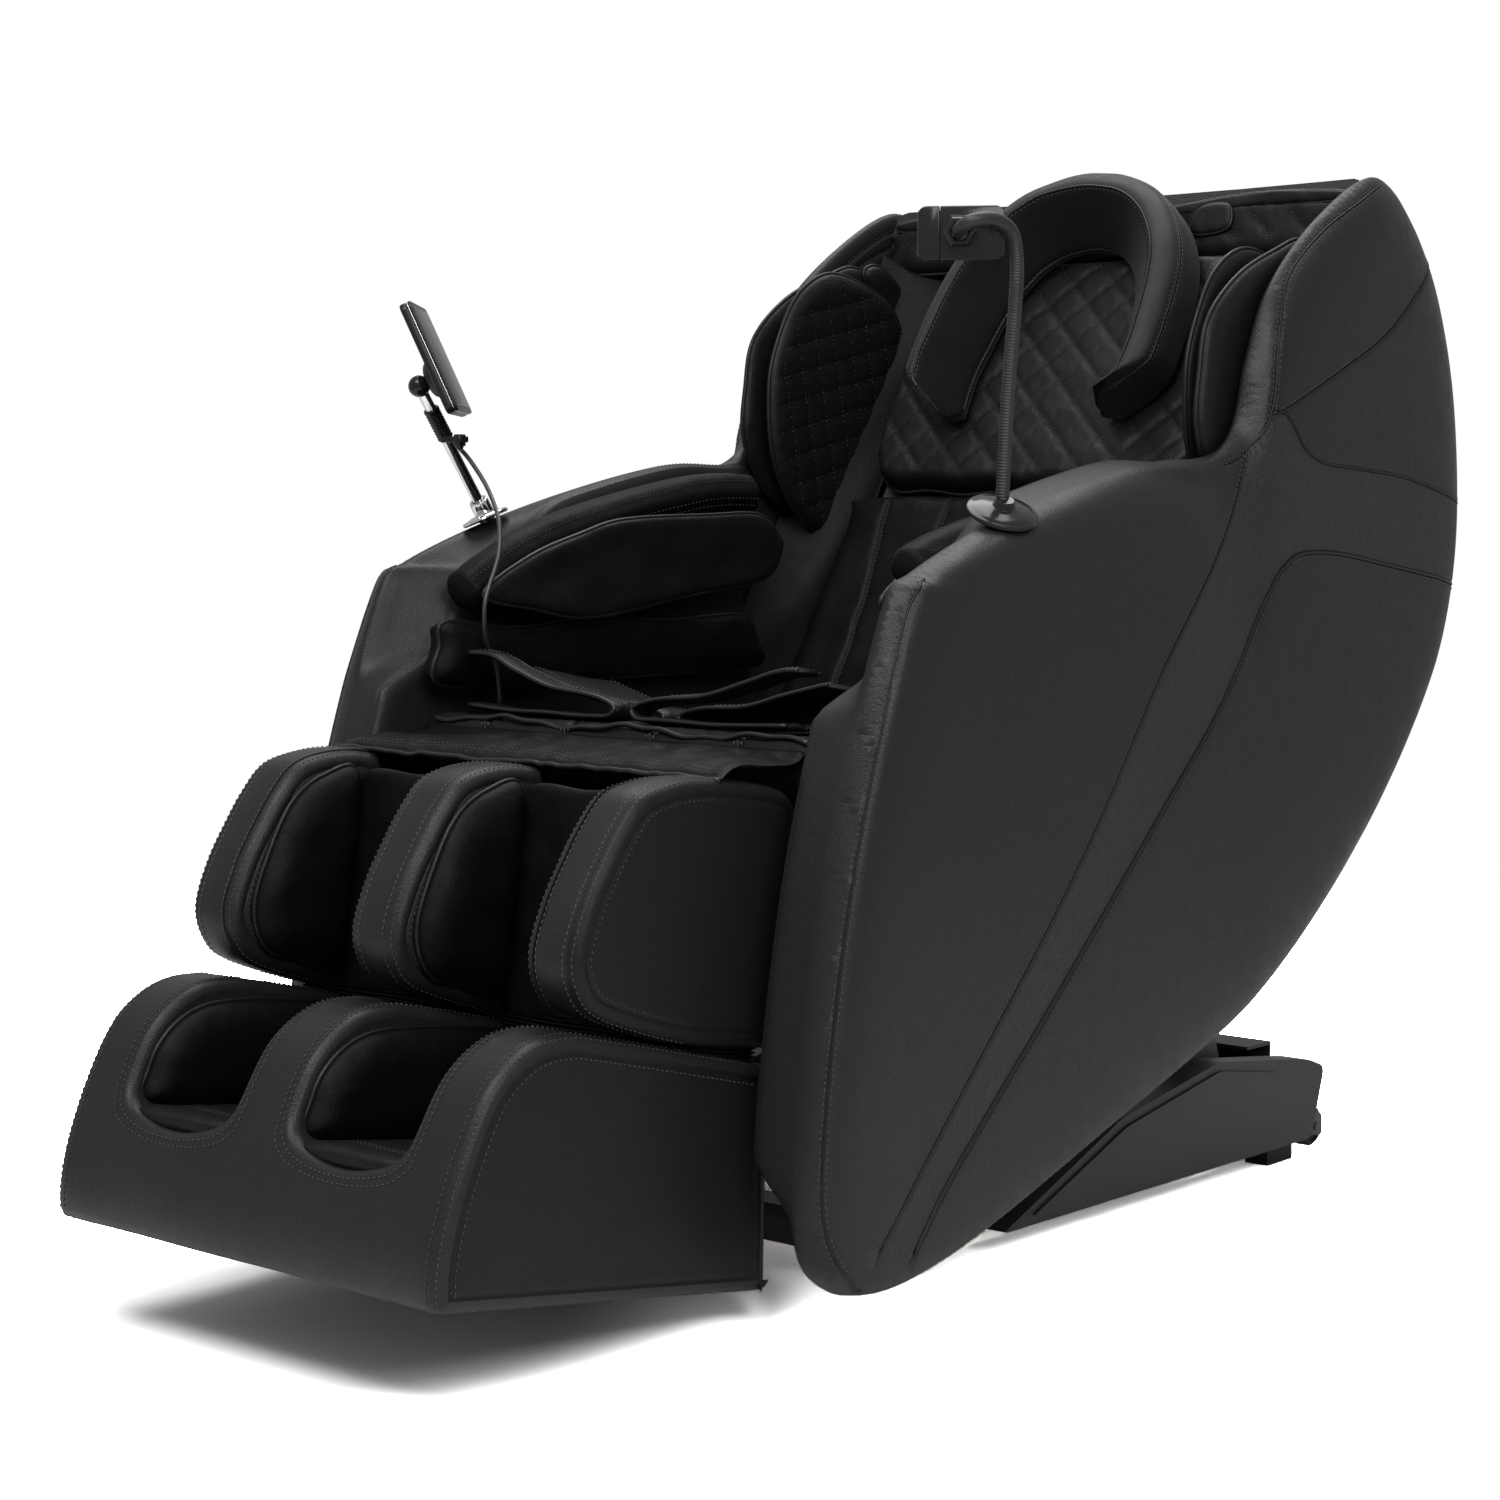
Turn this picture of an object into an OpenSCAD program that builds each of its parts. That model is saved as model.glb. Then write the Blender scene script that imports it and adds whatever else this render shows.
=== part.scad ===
// Reclining massage chair: base frame, rocking cradle with side shells, calf and foot rest,
// roller carriage on the back rails, phone holder and tablet stand. Millimetres, front is -Y.

/* [Shell] */
// Width over the two side shells
overall_w = 780; // [750:5:820]
// Depth of a side shell from its front edge to its back
shell_depth = 1215; // [1190:5:1240]
// Floor to the top edge of the shell
shell_top = 1163; // [1140:1:1200]
// Floor to the crest of the arms
arm_top = 843; // [825:1:860]
// Thickness of the outer leaf of a side shell
leaf_t = 50; // [44:1:56]
// Thickness of the padded arm body inside the leaf
arm_t = 45; // [40:1:52]
// Wall of the rear shell
rear_wall = 30; // [20:1:36]

/* [Seat and back] */
// Floor to the front edge of the seat cushion
seat_h = 572; // [565:1:580]
// Length of the seat cushion
seat_len = 480; // [465:1:490]
// Thickness of the seat cushion
seat_t = 80; // [70:1:86]
// Slope of the seat down to the back, in degrees
seat_rake = 10; // [8:0.5:11]
// Lean of the back from upright, in degrees
back_lean = 32; // [31:0.5:33]
// Thickness of the back cushions
back_t = 42; // [36:1:46]
// Width of the back cushions
back_w = 500; // [470:5:520]
// Width of the head pillow
pillow_w = 350; // [320:5:380]

/* [Leg rest] */
// Width of the calf and foot units
leg_w = 540; // [520:2:560]
// Width of each trough for a calf or foot
trough_w = 170; // [160:1:180]
// Thickness of the air pads in the troughs
air_pad_t = 18; // [12:1:22]
// Travel of the foot unit along the leg
foot_travel = 150; // [100:5:150]
// Outer diameter of the telescopic tubes
leg_tube_d = 32; // [30:1:34]

/* [Base] */
// Height of the rubber feet
foot_h = 30; // [24:1:34]
// Length of the base rails
rail_len = 825; // [800:5:840]
// Width of a base rail
rail_w = 30; // [26:1:34]
// Height of a base rail
rail_h = 40; // [34:1:44]
// Distance between the middles of the base rails
rail_span = 470; // [460:2:476]
// Diameter of the transport wheels
wheel_d = 50; // [44:1:54]
// Diameter of the recline pivot pins
pivot_d = 20; // [16:1:24]
// Running clearance between a pin and its bore, on the radius
run_fit = 0.05; // [0.04:0.01:0.08]

/* [Massage carriage] */
// Travel of the carriage above its rest place
carriage_up = 170; // [150:5:175]
// Travel of the carriage below its rest place
carriage_down = 150; // [120:5:155]
// Diameter of the massage rollers
roller_d = 48; // [42:1:50]
// Distance between the two roller arms
arm_pitch = 150; // [130:2:170]

/* [Phone holder and tablet stand] */
// Diameter of the phone holder's foot disc
disc_d = 72; // [64:1:80]
// Diameter of the gooseneck
neck_d = 14; // [12:0.5:15]
// Width of the phone clamp when closed
clamp_w = 84; // [76:1:92]
// Height of the tablet
tablet_h = 127; // [118:1:130]
// Width of the tablet
tablet_w = 160; // [150:1:170]
// Thickness of the tablet
tablet_t = 14; // [11:0.5:15]
// Diameter of the tablet's pole
pole_d = 12; // [10:0.5:14]
// Diameter of the tablet's cord
cord_d = 5; // [4.5:0.1:5.5]

/* [Hidden] */
$fn = 48;

gap = 0.3;                       // clearance between soft or sliding neighbours
black = [0.10, 0.10, 0.105];
charcoal = [0.19, 0.19, 0.20];
inner_black = [0.06, 0.06, 0.065];
steel = [0.62, 0.63, 0.65];
frame_grey = [0.25, 0.26, 0.28];
rubber = [0.05, 0.05, 0.05];

// stations of the leaf-shaped side shell
half_w = overall_w / 2;
leaf_x = half_w - leaf_t;        // inner face of the leaf
arm_x = leaf_x - arm_t;          // inner face of the arm body
shell_front = -433;
shell_c = [300, 600];            // middle that the leaf rounds about
crown = 25;                      // bulge of the rear shell at its middle
crest_rise = 6;                  // the arm body stands this far above the leaf
function leaf_y(t) = shell_front + t * shell_depth;
function leaf_z(t) = t <= 1 ? t * arm_top : arm_top + (t - 1) * (shell_top - arm_top);
leaf_outline = [
  [0.040, 0.069], [0.000, 0.178], [0.032, 0.512], [0.100, 0.812], [0.141, 0.864],
  [0.274, 0.929], [0.439, 0.980], [0.545, 0.985], [0.602, 1.078], [0.628, 1.334],
  [0.663, 1.578], [0.743, 1.828], [0.842, 2.000], [0.906, 1.881], [0.961, 1.600],
  [0.997, 1.178], [1.000, 0.866], [0.949, 0.682], [0.817, 0.469], [0.628, 0.288],
  [0.356, 0.154], [0.142, 0.065]
];
leaf_points = [for (p = leaf_outline) [leaf_y(p[0]), leaf_z(p[1])]];

// seat and back frames of reference
seat_y = -310;                   // front edge of the seat cushion
board_t = 12;
plate_t = 8;
back_y = seat_y + seat_len * cos(seat_rake) + 12;
back_z = seat_h - seat_len * sin(seat_rake) - 12;
rail_back_y = back_t + gap;      // front face of the back rails, behind the cushion face
shaft_y = 108;                   // kneading shaft, behind the cushion face
shaft_z = 380;
frame_half = 95;                 // half height of the carriage
carriage_low = shaft_z - frame_half - carriage_down;
rail_back_t = 92;
rail_back_w = 25;
back_low = carriage_low - 195;
back_high = shaft_z + frame_half + carriage_up + 55;
screw_y = 152;                   // lead screw, behind the cushion face
screw_d = 16;
bar_h = 30;
pad_top = 723;                   // top of the quilted pad, along the back
quilt_rise = 6;                  // the quilted pad stands proud of the lower one
pillow_half_t = 38;

// base
rail_front = -205;
rail_x = rail_span / 2;
rail_z = foot_h;
rail_top = foot_h + rail_h;
rail_end = rail_front + rail_len;
bar_ys = [rail_front + 33, 190, rail_end - 30];  // middles of the crossbars
cover_x = rail_x + rail_w / 2 + 35;              // outer face of the base covers
cover_wall = 4;
wheel_y = rail_end + 52;
wheel_z = wheel_d / 2 + 5;
wheel_w = 20;
axle_d = 10;
bracket_t = 8;
plate_x = rail_x - rail_w / 2 - bracket_t - 4;   // outer face of the seat side plates

// recline pivot and its motor
pivot = [430, 240];
bracket_r = 26;
pin_clear = 0.02;                // a fixed pin in its own bracket
recline_foot = [bar_ys[1], rail_top + 25];
recline_eye = [180, seat_h - 212];
recline_len = norm(recline_eye - recline_foot);
recline_angle = atan2(recline_eye[1] - recline_foot[1], recline_eye[0] - recline_foot[0]);

// knee hinge, leg direction and leg motor
knee = [-370, seat_h - 82];
leg_lean = 8.7;
knee_d = 16;
leg_foot = [-180, seat_h - 157];
leg_eye_local = [-10, -60];
function leg_to_world(p) = [knee[0] + p[0] * cos(leg_lean) + p[1] * sin(leg_lean),
                            knee[1] - p[0] * sin(leg_lean) + p[1] * cos(leg_lean)];
leg_eye = leg_to_world(leg_eye_local);
leg_len = norm(leg_eye - leg_foot);
leg_angle = atan2(leg_eye[1] - leg_foot[1], leg_eye[0] - leg_foot[0]);

// carriage
roller_y = 78;
roller_dz = 75;

// phone holder and tablet, seated on the arms
function arm_line(y) = lookup(y, [for (i = [3:7]) leaf_points[i]]);
disc_at = [half_w - 40, -118, arm_line(-118) + 4.5];
disc_tilt = [13, 26, 0];
clamp_at = disc_at + [-10, -57, 271.6];
clamp_turn = 34;
clamp_half_h = 26;
ball_d = 20;
pole_base = [-(half_w - 48), -153, arm_line(-153) + 7];
pole_lean = 35;
pole_foot = pole_base + [0, -6, 12];
pole_len = 164;
tablet_turn = -49;
tablet_tilt = 24;

// ---- helpers ----

function unit(v) = v / norm(v);
// point of a smooth curve through p1 and p2
function bend(p0, p1, p2, p3, t) = 0.5 * ((2 * p1) + (p2 - p0) * t
  + (2 * p0 - 5 * p1 + 4 * p2 - p3) * t * t + (3 * p1 - p0 - 3 * p2 + p3) * t * t * t);
function closed_curve(p, n) = let (m = len(p))
  [for (i = [0:m - 1], k = [0:n - 1])
    bend(p[(i + m - 1) % m], p[i], p[(i + 1) % m], p[(i + 2) % m], k / n)];
function open_curve(p, n) = let (m = len(p)) concat(
  [for (i = [0:m - 2], k = [0:n - 1])
    bend(p[max(i - 1, 0)], p[i], p[i + 1], p[min(i + 2, m - 1)], k / n)], [p[m - 1]]);
// polygon with each corner rounded by r
function soft_corners(p, r, n = 4) = let (m = len(p))
  [for (i = [0:m - 1])
    let (a = p[(i + m - 1) % m], b = p[i], c = p[(i + 1) % m],
         s = min(r, norm(a - b) * 0.49, norm(c - b) * 0.49),
         u = b + s * unit(a - b), v = b + s * unit(c - b))
    for (k = [0:n]) let (t = k / n) (1 - t) * (1 - t) * u + 2 * t * (1 - t) * b + t * t * v];
function moved(p, d) = [for (q = p) q + d];
// point moved towards the middle of the leaf
function drawn_in(p, d) = let (v = shell_c - p) p + unit(v) * d;
function at_x(p, x) = [for (q = p) [x, q[0], q[1]]];

// solid through a stack of rings with equal numbers of points; its ends fan out from a middle
// point [y, z], or join the ring's first half to its second
module loft(rings, middle = [], halves = false) {
  n = len(rings[0]);
  m = len(rings);
  last = (m - 1) * n;
  mids = len(middle) == 0 ? [] : [for (r = [rings[0], rings[m - 1]]) [r[0][0], middle[0], middle[1]]];
  polyhedron(
    points = concat([for (r = rings) each r], mids),
    faces = concat(
      halves ? [for (i = [0:n / 2 - 2]) each [[n - 1 - i, n - 2 - i, i + 1, i],
                [last + i, last + i + 1, last + n - 2 - i, last + n - 1 - i]]]
      : len(mids) > 0 ? [for (i = [0:n - 1]) each [[m * n, (i + 1) % n, i],
                         [m * n + 1, last + i, last + (i + 1) % n]]]
      : [[for (i = [n - 1:-1:0]) i], [for (i = [0:n - 1]) last + i]],
      [for (j = [0:m - 2], i = [0:n - 1]) each
        [[j * n + i, j * n + (i + 1) % n, (j + 1) * n + (i + 1) % n],
         [j * n + i, (j + 1) * n + (i + 1) % n, (j + 1) * n + i]]]),
    convexity = 8);
}

// round bar along a route, with an oval section of half sizes a and b
module swept(route, a, b, sides, up = [0, 0, 1]) {
  m = len(route);
  loft([for (j = [0:m - 1])
    let (t = unit(route[min(j + 1, m - 1)] - route[max(j - 1, 0)]),
         s = unit(cross(t, up)), w = cross(s, t))
    [for (k = [0:sides - 1]) let (g = 360 * k / sides) route[j] + a * cos(g) * s + b * sin(g) * w]]);
}

// side view polygon given as [y, z], drawn from x0 to x1
module slab(x0, x1, p) {
  translate([x0, 0, 0]) rotate([90, 0, 90]) linear_extrude(x1 - x0) polygon(p);
}

module rod_x(x0, x1, d) {
  translate([x0, 0, 0]) rotate([0, 90, 0]) cylinder(h = x1 - x0, d = d);
}

module block(x, y, z) {
  translate([x[0], y[0], z[0]]) cube([x[1] - x[0], y[1] - y[0], z[1] - z[0]]);
}

module both_sides() {
  children();
  mirror([1, 0, 0]) children();
}

module on_seat() {
  translate([0, seat_y, seat_h]) rotate([-seat_rake, 0, 0]) children();
}

module on_back() {
  translate([0, back_y, back_z]) rotate([-back_lean, 0, 0]) children();
}

module on_leg() {
  translate([0, knee[0], knee[1]]) rotate([-leg_lean, 0, 0]) children();
}

module at_yz(p) {
  translate([0, p[0], p[1]]) children();
}

// ---- base ----

module base_rails() {
  color(frame_grey) both_sides()
    block([rail_x - rail_w / 2, rail_x + rail_w / 2], [rail_front, rail_end],
          [rail_z, rail_top]);
}

module base_crossbars() {
  inner = rail_x - rail_w / 2;
  color(frame_grey) {
    for (y = [bar_ys[0], bar_ys[2]])
      block([-inner, inner], [y - 20, y + 20], [rail_z, rail_top]);
    difference() {
      union() {
        block([-inner, inner], [bar_ys[1] - 20, bar_ys[1] + 20], [rail_z, rail_top]);
        for (s = [-1, 1]) translate([s * 27, 0, 0])
          slab(-4, 4, [[bar_ys[1] - 20, rail_top - 1], [bar_ys[1] - 14, recline_foot[1] + 12],
                       [bar_ys[1] + 14, recline_foot[1] + 12], [bar_ys[1] + 20, rail_top - 1]]);
      }
      at_yz(recline_foot) rod_x(-40, 40, 12 + 2 * run_fit);
    }
  }
}

module base_feet() {
  color(rubber) for (y = [rail_front + 5, rail_end - 62]) both_sides()
    translate([rail_x, y, 0]) difference() {
      block([-15, 16], [0, 56], [0, foot_h]);
      translate([0, 28, -1]) cylinder(h = 9, d = 14);
    }
}

// moulded cover outside a rail, with a sculpted diagonal ridge
module base_cover() {
  z0 = foot_h + 2;
  y1 = rail_end - 18;
  outline = soft_corners([[-20, z0], [y1, z0], [y1 + 28, z0 + 84], [y1 - 12, z0 + 98],
                          [395, z0 + 122], [200, z0 + 88]], 12);
  hollow = soft_corners([[8, z0 + 4], [y1 - 6, z0 + 4], [y1 + 18, z0 + 80], [y1 - 14, z0 + 93],
                         [397, z0 + 116], [202, z0 + 82]], 8);
  boss_x = rail_x + rail_w / 2;
  difference() {
    union() {
      slab(boss_x + 2, cover_x, outline);
      slab(cover_x - 1, cover_x + 3, soft_corners([[30, z0 + 10], [150, z0 + 16], [520, z0 + 92],
                                                   [395, z0 + 112], [205, z0 + 78]], 10));
    }
    slab(boss_x, cover_x - cover_wall, hollow);
  }
  for (y = [90, 330, y1 - 42]) translate([0, y, rail_z + rail_h / 2])
    rod_x(boss_x + gap, cover_x - cover_wall + 1, 14);
}

module base_cover_left() { color(black) base_cover(); }
module base_cover_right() { color(black) mirror([1, 0, 0]) base_cover(); }

module base_cover_rear() {
  inner = rail_x - rail_w / 2 - gap;
  y0 = bar_ys[2] + 20;
  color(black) difference() {
    union() {
      block([-inner, inner], [y0, y0 + cover_wall], [rail_z, rail_top + 70]);
      block([-inner, inner], [y0 - 50, y0 + cover_wall], [rail_top + 66, rail_top + 70]);
    }
    block([-150, -120], [y0 - 1, y0 + 9], [95, 119]);
    block([-189.4, -168.6], [y0 - 1, y0 + 9], [95, 119]);
  }
}

module power_inlet() {
  y0 = bar_ys[2] + 20 + cover_wall;
  color(black) {
    difference() {
      union() {
        block([-149.7, -120.3], [y0 - 26, y0], [95.3, 118.7]);
        block([-156, -114], [y0, y0 + 3], [90, 124]);
      }
      block([-146, -124], [y0 - 18, y0 + 4], [99, 115]);
    }
    for (x = [-142, -135, -128]) translate([x, y0 - 19, 107])
      rotate([-90, 0, 0]) cylinder(h = 14, d = 2.4);
  }
}

module power_switch() {
  y0 = bar_ys[2] + 20 + cover_wall;
  color(rubber) translate([0, y0 - 3, 107])
    slab(-189, -169, [[-8, -9], [5, -9.5], [3.6, 0], [5, 9.5], [-8, 9]]);
}

module pivot_brackets() {
  color(frame_grey) both_sides() difference() {
    hull() {
      slab(plate_x + 4, plate_x + 4 + bracket_t,
           [[pivot[0] - 90, rail_z + 6], [pivot[0] + 90, rail_z + 6],
            [pivot[0] + 90, rail_top + 8], [pivot[0] - 90, rail_top + 8]]);
      at_yz(pivot) rod_x(plate_x + 4, plate_x + 4 + bracket_t, 2 * bracket_r);
    }
    at_yz(pivot) rod_x(plate_x, plate_x + 20, pivot_d + 2 * pin_clear);
  }
}

module pivot_pins() {
  color(steel) both_sides() at_yz(pivot) {
    rod_x(plate_x - plate_t - 5, plate_x + 4 + bracket_t + 0.5, pivot_d);
    rod_x(plate_x + 4 + bracket_t + 0.2, plate_x + 4 + bracket_t + 5, pivot_d + 10);
  }
}

module control_box() {
  color(charcoal) block([-185, -40], [bar_ys[1] + 6, bar_ys[2] - 12], [rail_top + gap, rail_top + 56]);
}

module air_pump() {
  color(charcoal) {
    block([40, 185], [bar_ys[1] + 6, bar_ys[2] - 12], [rail_top + gap, rail_top + 48]);
    for (y = [260, 330, 400]) translate([112, y, rail_top + 40]) cylinder(h = 22, d = 44);
  }
}

module wheel_forks() {
  y0 = rail_end;
  color(frame_grey) both_sides() {
    for (s = [-1, 1]) translate([rail_x + s * 13, 0, 0]) difference() {
      slab(-2, 2, soft_corners([[y0 + 3, rail_z], [wheel_y + 14, wheel_z - 14], [wheel_y + 14, wheel_z + 14],
                                [y0 + 3, rail_top]], 8));
      at_yz([wheel_y, wheel_z]) rod_x(-5, 5, axle_d + 2 * pin_clear);
    }
    block([rail_x - 15, rail_x + 15], [y0, y0 + 4], [rail_z, rail_top]);
    at_yz([wheel_y, wheel_z]) rod_x(rail_x - 17, rail_x + 17, axle_d);
  }
}

module wheel() {
  at_yz([wheel_y, wheel_z]) translate([rail_x, 0, 0]) rotate([0, 90, 0]) rotate_extrude() {
    r = wheel_d / 2;
    w = wheel_w / 2;
    b = axle_d / 2 + run_fit;
    polygon([[b, -w], [r * 0.55, -w], [r * 0.62, -w + 3], [r * 0.74, -w + 3], [r * 0.8, -w],
             [r - 3, -w], [r, -w + 3], [r, w - 3], [r - 3, w], [r * 0.8, w],
             [r * 0.74, w - 3], [r * 0.62, w - 3], [r * 0.55, w], [b, w]]);
  }
}

module transport_wheel_left() { color(rubber) wheel(); }
module transport_wheel_right() { color(rubber) mirror([1, 0, 0]) wheel(); }

// motor body with its sleeve, drawn along +Z from the rear eye
module motor_tube(len_out, eye_d, body_w) {
  difference() {
    union() {
      rod_x(-body_w / 2, body_w / 2, eye_d + 14);
      translate([-body_w / 2 + 2, -9, 0]) cube([body_w - 4, 18, 24]);
      translate([-body_w / 2, -body_w / 2, 24]) cube([body_w, body_w, 52]);
      translate([0, 0, 75]) cylinder(h = len_out - 75, d = 34);
    }
    rod_x(-50, 50, eye_d + 2 * run_fit);
    translate([0, 0, 60]) cylinder(h = len_out, d = 20 + 2 * gap);
  }
}

module recline_motor_tube() {
  color(charcoal) at_yz(recline_foot) rotate([recline_angle - 90, 0, 0]) {
    motor_tube(recline_len - 50, 12, 44);
  }
  color(steel) at_yz(recline_foot) rod_x(-31, 31, 12);
}

module recline_rod() {
  color(steel) at_yz(recline_foot) rotate([recline_angle - 90, 0, 0]) difference() {
    union() {
      translate([0, 0, 66]) cylinder(h = recline_len - 66 - 8, d = 20);
      translate([0, 0, recline_len]) rod_x(-8, 8, 34);
    }
    translate([0, 0, recline_len]) rod_x(-12, 12, 12 + 7);
  }
}

// ---- cradle ----

// leaf with its outer face bulging and its rim rounded
leaf_steps = [[0, 0], [14, 3], [26, 10], [36, 20], [43, 34], [48, 60], [50, 110]];
function rim_share(p) = let (v = unit(p - shell_c)) 0.4 + 0.45 * max(0, v[0]) + 1.1 * max(0, v[1]);
module side_shell() {
  ring = closed_curve(leaf_points, 3);
  loft([for (s = leaf_steps)
    at_x([for (p = ring) drawn_in(p, s[1] * rim_share(p))], leaf_x + leaf_t * s[0] / 50)], shell_c);
}

module side_shell_left() { color(charcoal) side_shell(); }
module side_shell_right() { color(charcoal) mirror([1, 0, 0]) side_shell(); }

module rear_shell() {
  spine = open_curve([for (i = [12:18]) leaf_points[i]], 3);
  n = len(spine);
  edge = leaf_x - gap;
  xs = [-1, -0.94, -0.8, -0.55, -0.25, 0.25, 0.55, 0.8, 0.94, 1];
  color(charcoal) loft([for (s = xs)
    let (out = crown * (1 - s * s))
    at_x(concat([for (p = spine) p + [out, 0]],
                [for (i = [n - 1:-1:0]) drawn_in(spine[i] + [out, 0], rear_wall)]), s * edge)],
    halves = true);
}

// padded arm body between the leaf and the seat, up to the crest of the arm
module arm_body() {
  low = [[270, 620], [330, 420], [200, 300], [-60, 225], [-250, 160], [-390, 110]];
  loft([for (s = [[0, -8], [0.22, crest_rise], [0.6, crest_rise - 3], [1, 2]])
    at_x(concat(open_curve([for (i = [1:7]) leaf_points[i] + (i > 3 ? [2, s[1]] : [3, 0])], 3), low),
         arm_x + s[0] * (arm_t - gap))], [-50, 500]);
}

module arm_body_left() { color(charcoal) arm_body(); }
module arm_body_right() { color(charcoal) mirror([1, 0, 0]) arm_body(); }

// underside of the seat board at a given y
function board_under(y) = seat_h - (y - seat_y) * tan(seat_rake) - (seat_t + gap + board_t) / cos(seat_rake);

module seat_side_plates() {
  color(frame_grey) both_sides() difference() {
    slab(plate_x - plate_t, plate_x, soft_corners([
      [knee[0] - 22, knee[1] - 14], [knee[0] - 20, knee[1] + 20], [knee[0] + 22, knee[1] + 22],
      [seat_y - 4, board_under(seat_y) - gap], [back_y + 30, board_under(back_y + 30) - gap],
      [back_y + 90, seat_h - 152], [pivot[0] + 24, pivot[1] + 30], [pivot[0] + 26, pivot[1] - 22],
      [pivot[0] - 26, pivot[1] - 24], [recline_eye[0] + 40, recline_eye[1] - 45], [-150, seat_h - 197],
      [knee[0] + 30, knee[1] - 45]], 14));
    at_yz(pivot) rod_x(plate_x - 20, plate_x + 20, pivot_d + 2 * run_fit);
    at_yz(knee) rod_x(plate_x - 20, plate_x + 20, knee_d + 2 * pin_clear);
  }
}

module seat_cross_tubes() {
  inner = plate_x - plate_t;
  tube_z = recline_eye[1] + 6;
  color(frame_grey) {
    for (p = [[leg_foot[0] + 42, leg_foot[1] - 15], [recline_eye[0] - 45, tube_z + 10],
              [back_y + 50, tube_z]])
      at_yz(p) rod_x(-inner, inner, 28);
    both_sides() for (p = [[leg_foot[0] + 42, leg_foot[1] - 15], [recline_eye[0] - 45, tube_z]])
      at_yz(p) rod_x(plate_x, arm_x - gap, 28);
    for (s = [-1, 1]) translate([s * 22, 0, 0]) difference() {
      slab(-3, 3, soft_corners([[leg_foot[0] + 40, leg_foot[1] - 25], [leg_foot[0] - 12, leg_foot[1] - 12],
           [leg_foot[0] - 12, leg_foot[1] + 13], [leg_foot[0] + 40, leg_foot[1] - 5]], 8));
      at_yz(leg_foot) rod_x(-5, 5, 12 + 2 * run_fit);
    }
    for (s = [-1, 1]) translate([s * 20, 0, 0]) difference() {
      slab(-3, 3, soft_corners(moved([[-40, 6], [-40, 26], [14, 16], [14, -16], [-14, -16]],
                                     recline_eye), 6));
      at_yz(recline_eye) rod_x(-5, 5, 12 + 2 * pin_clear);
    }
    at_yz(recline_eye) rod_x(-23, 23, 12);
  }
}

module seat_board() {
  color([0.45, 0.36, 0.26]) on_seat()
    block([45 - arm_x, arm_x - 45], [22, seat_len - 6], [-seat_t - gap - board_t, -seat_t - gap]);
}

module knee_pins() {
  color(steel) both_sides() at_yz(knee) {
    rod_x(plate_x - plate_t - 13, plate_x + 0.5, knee_d);
    rod_x(plate_x + 0.2, plate_x + 5, knee_d + 8);
  }
}

module back_rails() {
  color(frame_grey) on_back() both_sides()
    block([plate_x + gap, plate_x + gap + rail_back_w], [rail_back_y, rail_back_y + rail_back_t],
          [back_low, back_high]);
}

module back_crossbars() {
  inner = plate_x + gap;
  color(frame_grey) on_back() for (z = [carriage_low - 75, back_high - bar_h - 5]) difference() {
    union() {
      block([-inner, inner], [screw_y - 52, screw_y - 22], [z, z + bar_h]);
      block([-22, 22], [screw_y - 23, screw_y + 18], [z, z + bar_h]);
    }
    translate([0, screw_y, z - 1]) cylinder(h = bar_h + 2, d = screw_d + 2 * run_fit);
  }
}

module seat_cushion() {
  w = leg_w / 2;
  color(inner_black) on_seat() intersection() {
    slab(-w, w, soft_corners([[0, -seat_t], [0, -14], [30, 0], [seat_len, 0], [seat_len, -seat_t]], 24));
    translate([0, 0, -seat_t]) linear_extrude(seat_t)
      polygon(soft_corners([[-w, 0], [-w, seat_len], [w, seat_len], [w, 0]], 30));
  }
}

module knee_apron() {
  w = leg_w / 2 - 90;
  color(charcoal) on_seat()
    slab(-w, w, soft_corners([[-18, -72], [-20, -30], [-gap, -12], [-gap, -72]], 8));
}

module back_pad_lower() {
  color(inner_black) on_back() slab(-back_w / 2, back_w / 2, soft_corners([[0, 14], [0, 395], [back_t, 395],
                                                                          [back_t, 14]], 16));
}

module back_pad_quilted() {
  w = back_w / 2;
  color(inner_black) on_back() translate([0, back_t, 0]) rotate([90, 0, 0])
    linear_extrude(back_t + quilt_rise) polygon(soft_corners([[-w + 30, 402], [-w, 440], [-w + 4, 640], [-w + 50, pad_top], [w - 50, pad_top],
                          [w - 4, 640], [w, 440], [w - 30, 402], [60, 396], [-60, 396]], 30));
}

module hood_liner() {
  w = leaf_x - 2;
  color(inner_black) on_back() slab(-w, w, soft_corners([[-4, pad_top + gap], [-2, pad_top + 42],
    [18, pad_top + 52], [back_t - 4, pad_top + 34], [back_t, pad_top + gap]], 10));
}

module head_pillow() {
  r = pillow_w / 2 - 38;
  route = open_curve([[-r, 470], [-r - 4, 560], [-r + 12, 665], [-r * 0.55, 735], [0, 758],
                      [r * 0.55, 735], [r - 12, 665], [r + 4, 560], [r, 470]], 2);
  color(charcoal) on_back() translate([0, -(quilt_rise + gap + pillow_half_t), 0])
    swept([for (p = route) [p[0], 0, p[1]]], 42, pillow_half_t, 12, [0, 1, 0]);
}

roll_r = 26;
module arm_rolls() {
  route = open_curve([for (p = [[0.14, 0.82], [0.21, 0.87], [0.29, 0.905], [0.44, 0.945], [0.53, 0.948]])
    [arm_x - roll_r - gap, leaf_y(p[0]), leaf_z(p[1])]], 3);
  color(charcoal) both_sides() swept(route, roll_r, roll_r, 10);
}

function under_arm(p) = [for (q = p) [q[0], arm_top - q[1]]];

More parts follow.
